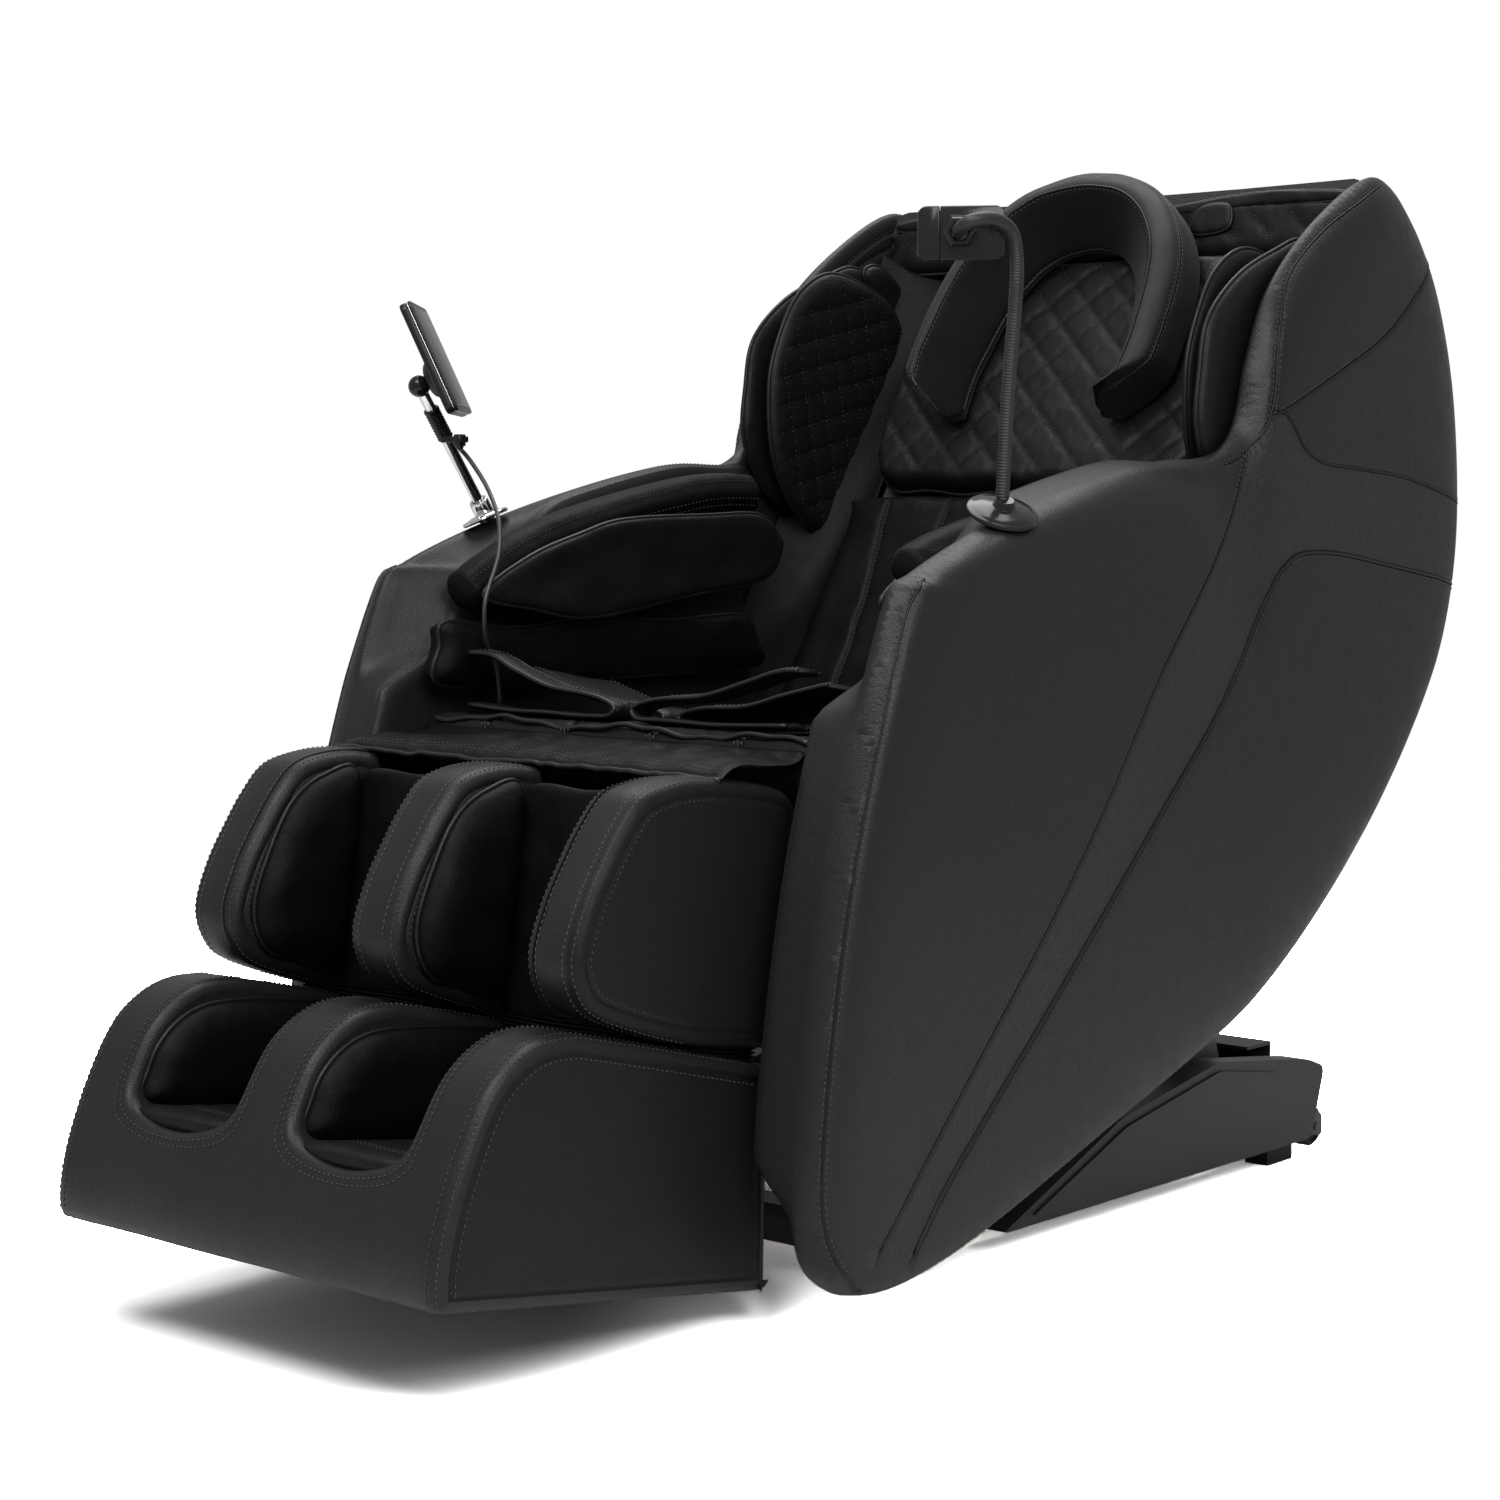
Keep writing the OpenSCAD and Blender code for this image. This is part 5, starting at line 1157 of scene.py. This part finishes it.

# ---- foot rest ----
# A deep foam-covered box with two wells for the feet. One leather skin runs up its front, over the
# top and round both openings, side panels painted darker as shade, piped air pads and a sole in each well.
foot_profile = [(62, -444), (-355, -444), (-371, -438), (-375, -396), (-364, -334), (-341, -268), (-317, -234),
                (-282, -211), (-243, -203), (-207, -204), (-100, -214), (-10, -223), (22, -227), (33, -238), (49, -345)]
foot_line = evenly(np.vstack([[foot_profile[0]], curve(foot_profile[1:], 8), [foot_profile[0]]]), 4.0)
foot_run = np.concatenate([[0], np.cumsum(np.linalg.norm(np.diff(foot_line, axis=0), axis=1))])
foot_n = beside(foot_line)
if foot_n[len(foot_n) // 3] @ (foot_line[len(foot_n) // 3] - np.array([-150, -330])) < 0:
    foot_n = -foot_n


def foot_skin(u, v, h):
    p, n = (np.stack([np.interp(v, foot_run, q[:, k]) for k in (0, 1)], axis=-1) for q in (foot_line, foot_n))
    q = p + unit(n) * np.asarray(h)[..., None]
    return on_leg(np.stack([u, q[..., 0], q[..., 1]], axis=-1))


def run_at(y, z):
    return float(foot_run[np.argmin(((foot_line - (y, z)) ** 2).sum(1))])


lip, well_end, end_run = run_at(-364, -334), run_at(-84, -217), foot_run[-1]


def well_loop(s, grow=0.0):
    a, b, c, d = 40 - grow, 197 + grow, lip - grow, well_end + grow
    pts = [(a + 46, c), ((a + b) / 2, c - 4), (b - 46, c), (b - 12, c + 14), (b, c + 48), (b, (c + d) / 2), (b, d - 30),
           (b - 10, d - 8), (b - 34, d), ((a + b) / 2, d), (a + 34, d), (a + 10, d - 8), (a, d - 30), (a, (c + d) / 2),
           (a, c + 48), (a + 12, c + 14)]
    return evenly(curve([(s * p[0], p[1]) for p in pts], 6, True), 6.0, True)


foot = Shape()
holes = [well_loop(-1), well_loop(1)]
corner = np.array([(-leg_half, 0), (leg_half, 0), (leg_half, end_run), (-leg_half, end_run)])
skin_loop = evenly(corner, 10.0, True)
for c in corner:
    skin_loop[np.argmin(((skin_loop - c) ** 2).sum(1))] = c
rings = [inset(skin_loop, d) for d in (1.2, 3.4, 6.6, 10.5)]
rings += [inset(h, -d) for h in holes for d in (1.0, 2.8, 5.6, 9.0)]
flat, tri = panel(skin_loop, [], 13.0, rings, holes)
d_side = leg_half - np.abs(flat[:, 0])
d_hole = np.min([away(flat, looped(h)) for h in holes], axis=0)
low = np.zeros(len(flat))
for d, r in ((d_side, 12.0), (d_hole, 10.0)):
    low = np.maximum(low, r - np.sqrt(np.maximum(0, r * r - np.maximum(0, r - d) ** 2)))
slow = np.array([wobble(u / 90, v / 70, 4.0) for u, v in flat])
high = 0.9 * slow * near_step(d_side, 0, 30) * near_step(d_hole, 0, 20) - low + 0.8 * np.exp(-((d_hole - 13) / 6) ** 2)
foot.add(foot_skin(flat[:, 0], flat[:, 1], high), tri)
for hole, s in zip(holes, (-1, 1)):
    rows = [foot_skin(hole[:, 0], hole[:, 1], np.full(len(hole), -10.0 - e)) for e in (0, 12, 30, 60)]
    m = len(hole)
    foot.add(np.vstack(rows), quads(len(rows), m))
    for grow in (9.0, 15.0):
        ring = looped(well_loop(s, grow))
        base_pts = foot_skin(ring[:, 0], ring[:, 1], np.full(len(ring), 0.9))
        foot.stitches(base_pts, foot_skin(ring[:, 0], ring[:, 1], np.full(len(ring), 1.9)) - base_pts, 1)
side_loop = evenly((foot_line - foot_n * 12.0)[:-1], 7.0, True)
side_flat, side_tri = panel(side_loop, [], 16.0, [inset(side_loop, d) for d in (1.4, 3.0, 5.0, 7.4, 11.0, 17.0)])
d = away(side_flat, looped(side_loop))
d[:len(side_loop)] = 0
top = [i for i in range(len(foot_line)) if foot_line[i][0] < 20 and foot_run[i] > run_at(-355, -444)]
bulge = 1.8 * near_step(d, 6, 60) - 1.7 * np.exp(-((d - 3.4) / 1.7) ** 2) * near_step(d, 0, 2)
for s in (-1, 1):
    # side panels take material 2, the darker copy of the shell leather: painted shade
    foot.add(on_leg(np.column_stack([s * (269.9 + bulge), side_flat])), [q if s > 0 else q[::-1] for q in side_tri], 2)
    for px, dz in ((15.0, 0.4), (4.4, -2.6)):
        p = foot_skin(np.full(len(top), s * (leg_half - px)), foot_run[top], np.full(len(top), dz))
        up = foot_skin(np.full(len(top), s * (leg_half - px)), foot_run[top], np.full(len(top), dz + 1)) - p
        if px < 5:
            up[:, 0] += s * 1.0
        foot.stitches(p, up, 1)
    p = np.column_stack([np.full(len(top), s * 270.3), (foot_line - foot_n * 20.5)[top]])
    foot.stitches(on_leg(p), np.tile((s, 0, 0), (len(top), 1)), 1)
foot.build("foot_rest_cover", [shell_leather, thread, shaded_side_leather], "foot_rest")
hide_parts("foot_shell")

wells = Shape()
well_side = [(-84, -328), (-200, -330), (-330, -328), (-334, -290), (-318, -258), (-286, -234), (-240, -224),
             (-160, -222), (-84, -228), (-80, -280)]
for s in (-1, 1):
    for x, sign in ((35.5, 1), (201.5, -1)):
        stuffed(wells, well_side, on_wall(s, x, sign), 19, 4, 30, 8.0, pucker=1.6,
                fold=2.0, pipe=2.6, seed=x * 0.3 + s)
    stuffed(wells, [(s * 52, -352), (s * 118, -358), (s * 186, -352), (s * 190, -300), (s * 188, -120), (s * 182, -80),
                    (s * 56, -80), (s * 50, -120), (s * 48, -300)], lying(on_leg, -330), 6, 20, 16, 9.0,
            [curve([(s * 62, z), (s * 118, z - 6), (s * 176, z)], 5) for z in (-300, -190)], pucker=1.0, fold=1.0,
            pipe=0, material=3)
    stuffed(wells, [(s * 40, -326), (s * 118, -330), (s * 196, -326), (s * 196, -270), (s * 194, -232), (s * 118, -226),
                    (s * 42, -232), (s * 40, -270)], facing(on_leg, -82), 8, 20, 14, 9.0, pucker=1.4, fold=2.0, pipe=0)
wells.build("foot_air_pads", [pad_leather, piping, thread, soft_leather], "foot_rest", outward=True)
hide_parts("foot_pads")

# ---- fabric gaiter between calf rest and foot rest ----
# A pleated black fabric tube round the telescopic tubes. It is sewn to the calf rest above and to
# the foot rest below; its pleats open as the foot rest slides out, but here it is one fixed mesh.
gaiter_cloth = leather("gaiter_cloth", (0.004, 0.004, 0.0042), 0.85, 900.0, 0.5, 0.4, specular=0.08)
gaiter = Shape()
ring = evenly(curve([(-240, -100), (0, -101), (240, -100), (254, -88), (256, -40), (254, 8), (240, 21), (0, 22),
                     (-240, 21), (-254, 8), (-256, -40), (-254, -88)], 6, True), 9.0, True)
m = len(ring)
pleats, pleat_depth, cloth_thick = 22, 2.6, 1.6
levels = np.linspace(-196, -240, pleats + 1)
rows = []
for wall_at in (0.0, cloth_thick):
    for i, z in enumerate(levels):
        pleat = (pleat_depth if i % 2 else -pleat_depth) * (0 < i < pleats)
        q = inset(ring, pleat + wall_at)
        rows.append(on_leg(np.column_stack([q, np.full(m, z) + 0.6 * np.sin(q[:, 0] / 23.0)])))
inner = quads(pleats + 1, m)
n = (pleats + 1) * m
gaiter.add(np.vstack(rows), [q[::-1] for q in inner] + [tuple(n + k for k in q) for q in inner] +
           [(a + k, a + (k + 1) % m, n + a + (k + 1) % m, n + a + k) for a in (0, pleats * m) for k in range(m)])
gaiter.build("leg_gaiter", [gaiter_cloth], body=None, angle=20, outward=True)
top, bottom = on_leg((0, -20, -200)) / 1000, on_leg((0, -20, -236)) / 1000
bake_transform(bpy.context.object)

# ---- base frame, feet and transport wheels ----
# Rectangular steel rails with welded crossbars and brackets in grey powder coat, block feet and
# wheels in black rubber, and bright steel pins.


def give(material, *names):
    # a better finish for nodes whose shape stays as it is
    for name in names:
        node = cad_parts[name]
        if not node.material_slots:
            node.data.materials.append(material)
        for place in node.material_slots:
            place.material = material


black_rubber = finish_of("black_rubber", (0.011, 0.011, 0.0115), 0.62, 0.5, 700.0, specular=0.3)
bright_steel = finish_of("bright_steel", (0.55, 0.56, 0.58), 0.26, 0.12, 1400.0, metallic=1.0, wear=0.08)
give(frame_paint, "base_rails", "base_crossbars", "pivot_brackets", "wheel_forks")
give(black_rubber, "base_feet", "transport_wheel_left", "transport_wheel_right", "power_switch")
give(bright_steel, "pivot_pins")

# ---- base covers ----
# Injection-moulded covers in satin black with a fine spark grain: one outside each rail, with a
# sculpted diagonal ridge, and one across the back with the mains inlet.
cover_plastic = finish_of("cover_plastic", (0.0165, 0.0165, 0.0172), 0.46, 0.35, 1100.0, wear=0.08, specular=0.3)
give(cover_plastic, "base_cover_left", "base_cover_right", "base_cover_rear", "power_inlet")
motor_plastic = finish_of("motor_plastic", (0.02, 0.02, 0.021), 0.55, 0.3, 800.0, specular=0.3)
give(motor_plastic, "control_box", "air_pump", "recline_motor_tube", "leg_motor_tube", "roller_arms")

# ---- cradle frame, motors and carriage ----
# Welded plates and tubes carry the seat board and the back rails; screw drives with bright rods
# rock the cradle and lift the leg rest, and the roller carriage climbs the back rails.
give(frame_paint, "seat_side_plates", "seat_cross_tubes", "back_rails", "back_crossbars", "carriage_frame")
give(bright_steel, "recline_rod", "leg_rod", "knee_pins", "lead_screw", "leg_tubes", "leg_rods")
give(black_rubber, "rollers_upper", "rollers_lower", "foot_rollers")
plywood = finish_of("plywood", (0.16, 0.105, 0.06), 0.7, 0.5, 260.0, wear=0.3, specular=0.2)
give(plywood, "seat_board")

# ---- phone holder ----
# A weighted disc on the near arm, a ribbed gooseneck over a steel core, and a spring clamp that
# turns on a ball under a six-sided nut. Glossy black mouldings.
holder_gloss = finish_of("holder_gloss", (0.008, 0.008, 0.0085), 0.16, 0.05, 900.0, wear=0.1, specular=0.2, coat=0.15)
neck_rubber = finish_of("neck_rubber", (0.013, 0.013, 0.0135), 0.45, 0.25, 1200.0, specular=0.3)


def turned(shape, profile, at, material=0, n=48):
    # a turned part: (radius, height) pairs spun about the local z axis
    verts = [at((r * math.cos(2 * math.pi * k / n), r * math.sin(2 * math.pi * k / n), z)) for r, z in profile[1:-1]
             for k in range(n)]
    m = len(profile) - 2
    verts += [at((0, 0, profile[0][1])), at((0, 0, profile[-1][1]))]
    shape.add(verts, quads(m, n) + caps(m, n), material)


def moulded(shape, loop, at, low, high, edge, material=0):
    # a flat moulding over an outline, with softened edges
    rows = [(edge, low), (edge * 0.3, low + edge * 0.3), (0, low + edge), (0, high - edge),
            (edge * 0.3, high - edge * 0.3), (edge, high)]
    m = len(loop)
    verts = np.vstack([[at((q[0], q[1], h)) for q in inset(loop, d)] for d, h in rows])
    shape.add(verts, quads(6, m) + [tuple(range(m))[::-1], tuple(range(5 * m, 6 * m))], material)


def rounded(x0, x1, y0, y1, radii):
    # rectangle with its own radius at each corner, from low x low y round to low x high y
    points = []
    for (x, y, a), r in zip(((x0, y0, 180), (x1, y0, 270), (x1, y1, 0), (x0, y1, 90)), radii):
        cx, cy = x + (r if x == x0 else -r), y + (r if y == y0 else -r)
        points += arc(r, range(a, a + 91, 15), cx, cy)
    return np.array(points)


def turn_of(x=0.0, y=0.0, z=0.0):
    return np.array(Matrix.Rotation(math.radians(z), 3, "Z") @ Matrix.Rotation(math.radians(y), 3, "Y") @
                    Matrix.Rotation(math.radians(x), 3, "X"))


disc_at = np.array([350.0, -118.0, 781.57])
disc_turn = turn_of(13, 26)
clamp_at = disc_at + (-10, -57, 271.6)
clamp_turn = turn_of(z=34)
holder = Shape()
turned(holder, [(0, 0), (33.5, 0), (35.6, 0.8), (36, 2.2), (35.4, 3.8), (33.6, 4.8), (31.5, 4.9), (30.6, 5.5),
                (24, 7.0), (15, 8.6), (11.5, 9.4), (10.4, 11), (10, 15.5), (8.8, 17), (0, 17)],
       lambda p: disc_at + disc_turn @ np.array(p), 0, 64)
neck_line = [disc_at + q for q in ((1, -1, 6), (4, -2, 50), (12, -6, 130))]
by_neck = ((53, 17, -66), (54, 14, -28), (49, 4, 0), (33, -16, 10), (13, -27, 8), (1, -19, 1), (0, -6, 0))
neck_line += [clamp_at + clamp_turn @ np.array(q) for q in by_neck]
neck_line = evenly(curve(neck_line, 24), 1.5)
ribs = np.where(np.arange(len(neck_line)) % 2 == 0, 1.0, 0.93)
holder.tube(neck_line, 7.0, 20, material=1, taper=ribs, up=(1, 0, 0))
turned(holder, [(0, -10)] + arc(10, range(-75, 76, 15)) + [(0, 10)],
       lambda p: clamp_at + np.array(p), 0, 32)
holder.build("phone_neck", [holder_gloss, neck_rubber], "phone_neck", angle=35, outward=True)
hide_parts("phone_stand")


def by_clamp(p):
    # moulding coordinates (across, up, depth) of the clamp
    return clamp_at + clamp_turn @ np.array((p[0], p[2], p[1]))


plate = Shape()
moulded(plate, rounded(-20, 42, -26, 26, (1.5, 9, 9, 1.5)), by_clamp, 12, 18.6, 1.1)
moulded(plate, rounded(-12, 30, -17, 17, (4, 4, 4, 4)), by_clamp, 11.2, 13, 0.6)
moulded(plate, rounded(37, 42, -22, 22, (2, 2, 2, 2)), by_clamp, 14, 34, 1.5)
nut = np.array(arc(16, range(0, 360, 60)))
ring_out = [(nut * f, h) for f, h in ((0.9, 12.5), (1.0, 10.8), (1.0, -2.6), (0.9, -4.6), (0.66, -5.0))]
verts = np.vstack([[by_clamp((q[0], q[1], h)) for q in loop] for loop, h in ring_out])
inner = [[by_clamp((*q, h)) for q in arc(r, range(0, 360, 60))] for r, h in ((11.6, -3.4), (10.4, 2.0))]
verts = np.vstack([verts] + inner)
plate.add(verts, quads(7, 6) + [tuple(range(6))[::-1], tuple(range(36, 42))])
plate.build("phone_clamp_plate", [holder_gloss], "clamp", angle=30, outward=True)
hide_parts("phone_clamp")

jaw = Shape()
moulded(jaw, rounded(-42, -20.6, -26, 26, (9, 1.5, 1.5, 9)), by_clamp, 12, 18.6, 1.1)
moulded(jaw, rounded(-42, -37, -22, 22, (2, 2, 2, 2)), by_clamp, 14, 34, 1.5)
jaw.build("phone_clamp_jaw", [holder_gloss], "clamp_jaw", angle=30, outward=True)
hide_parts("phone_jaw")

# ---- tablet stand ----
# A chromed tube leans forward from an oval flange on the far arm. A black clamp sleeve and a ball
# joint in a domed socket carry the tablet, and the cord's plug sits on a short arm.
pole_chrome = finish_of("pole_chrome", (0.62, 0.63, 0.65), 0.1, 0.0, 900.0, metallic=1.0, wear=0.05)
glass = finish_of("tablet_glass", (0.004, 0.004, 0.005), 0.2, 0.0, 900.0, specular=0.2)
tablet_shell = finish_of("tablet_shell", (0.005, 0.005, 0.0055), 0.36, 0.15, 1400.0, specular=0.25)
pole_base = np.array([-342.0, -153.0, 772.2])
pole_foot = pole_base + (0, -6, 12)
pole_turn = turn_of(35)
pole_len = 164.0


def by_pole(p):
    return pole_foot + pole_turn @ np.array(p)


flange = Shape()
flange_turn = turn_of(15, -18)
turned(flange, [(0, 0), (29, 0), (31, 1.2), (31, 3.0), (29.4, 4.6), (23, 5.6), (17, 7.2), (0, 8)],
       lambda p: pole_base + flange_turn @ np.array((0.75 * p[0], p[1], p[2])), 0, 56)
turned(flange, [(0, -13), (10.4, -13), (11, -12.4), (11, 9.4), (10.2, 11.4), (8.6, 12), (7.0, 11.6), (6.4, 8), (0, 8)],
       by_pole)
flange.build("tablet_flange", [pole_chrome], "cradle", angle=35, outward=True)
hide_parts("tablet_base")

pole = Shape()
turned(pole, [(0, -2.7), (5.6, -2.7), (6, -2.2), (6, 60), (6, 96), (6, pole_len - 6), (5, pole_len - 2),
              (0, pole_len - 2)], by_pole)
sleeve = [(0, 96), (8.4, 96), (9, 96.8)]
for k in range(9):
    sleeve += [(9, 98.6 + k * 3.6), (8.4, 99.4 + k * 3.6), (8.4, 101.0 + k * 3.6), (9, 101.8 + k * 3.6)]
sleeve += [(9, 133.4), (8.2, 134.4), (0, 134.4)]
turned(pole, sleeve, by_pole, 1, 40)
turned(pole, [(0, pole_len - 12)] + arc(12, range(-75, 76, 15), 0, pole_len) + [(0, pole_len + 12)], by_pole, 1, 32)
moulded(pole, rounded(plug_at[0] - 5, plug_at[0] + 5, plug_at[1] - 4, plug_at[1] + 8, (3, 3, 3, 3)),
        lambda p: np.array(p), plug_at[2] - 8, plug_at[2] + 5, 1.2, 1)
moulded(pole, rounded(plug_at[0] - 34, plug_at[0] + 3, plug_at[2] - 4, plug_at[2] + 3, (2, 2, 2, 2)),
        lambda p: np.array((p[0], p[2], p[1])), plug_at[1] + 4.2, plug_at[1] + 12.8, 0.9, 1)
turned(pole, [(0, plug_at[2] - 11), (3.4, plug_at[2] - 11), (4.2, plug_at[2] - 9.6), (4.6, plug_at[2] - 6),
              (0, plug_at[2] - 6)], lambda p: np.array((p[0] + plug_at[0], p[1] + plug_at[1] + 2, p[2])), 1, 20)
pole.build("tablet_pole_tube", [pole_chrome, holder_gloss], "pole", angle=32, outward=True)
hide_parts("tablet_pole")

tablet_at = pole_foot + pole_turn @ np.array((0, 0, pole_len))
tablet_turn = turn_of(z=-49) @ turn_of(24)


def by_tablet(p):
    # moulding coordinates (across, up, depth) of the tablet
    return tablet_at + tablet_turn @ np.array((p[0], p[2], p[1]))


panel_low, panel_high = -45.7, 81.3
screen = Shape()
moulded(screen, rounded(-80, 80, panel_low, panel_high, (9, 9, 9, 9)), by_tablet, 22, 31, 2.4)
moulded(screen, rounded(-80.3, 80.3, panel_low - 0.3, panel_high + 0.3, (9, 9, 9, 9)), by_tablet, 31.0, 31.9, 0.3, 2)
moulded(screen, rounded(-80, 80, panel_low, panel_high, (9, 9, 9, 9)), by_tablet, 32, 35.4, 1.0)
moulded(screen, rounded(-74, 74, panel_low + 6, panel_high - 6, (3, 3, 3, 3)), by_tablet, 35, 35.9, 0.3, 1)
turned(screen, [(0, 9.9), (11, 9.9), (12.4, 10.2), (17, 12.2), (20.4, 15.4), (21.8, 19), (22, 22.6), (0, 22.6)],
       by_tablet, 0, 48)
screen.build("tablet_body", [tablet_shell, glass, bright_steel], "tablet", angle=32, outward=True)
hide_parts("tablet")
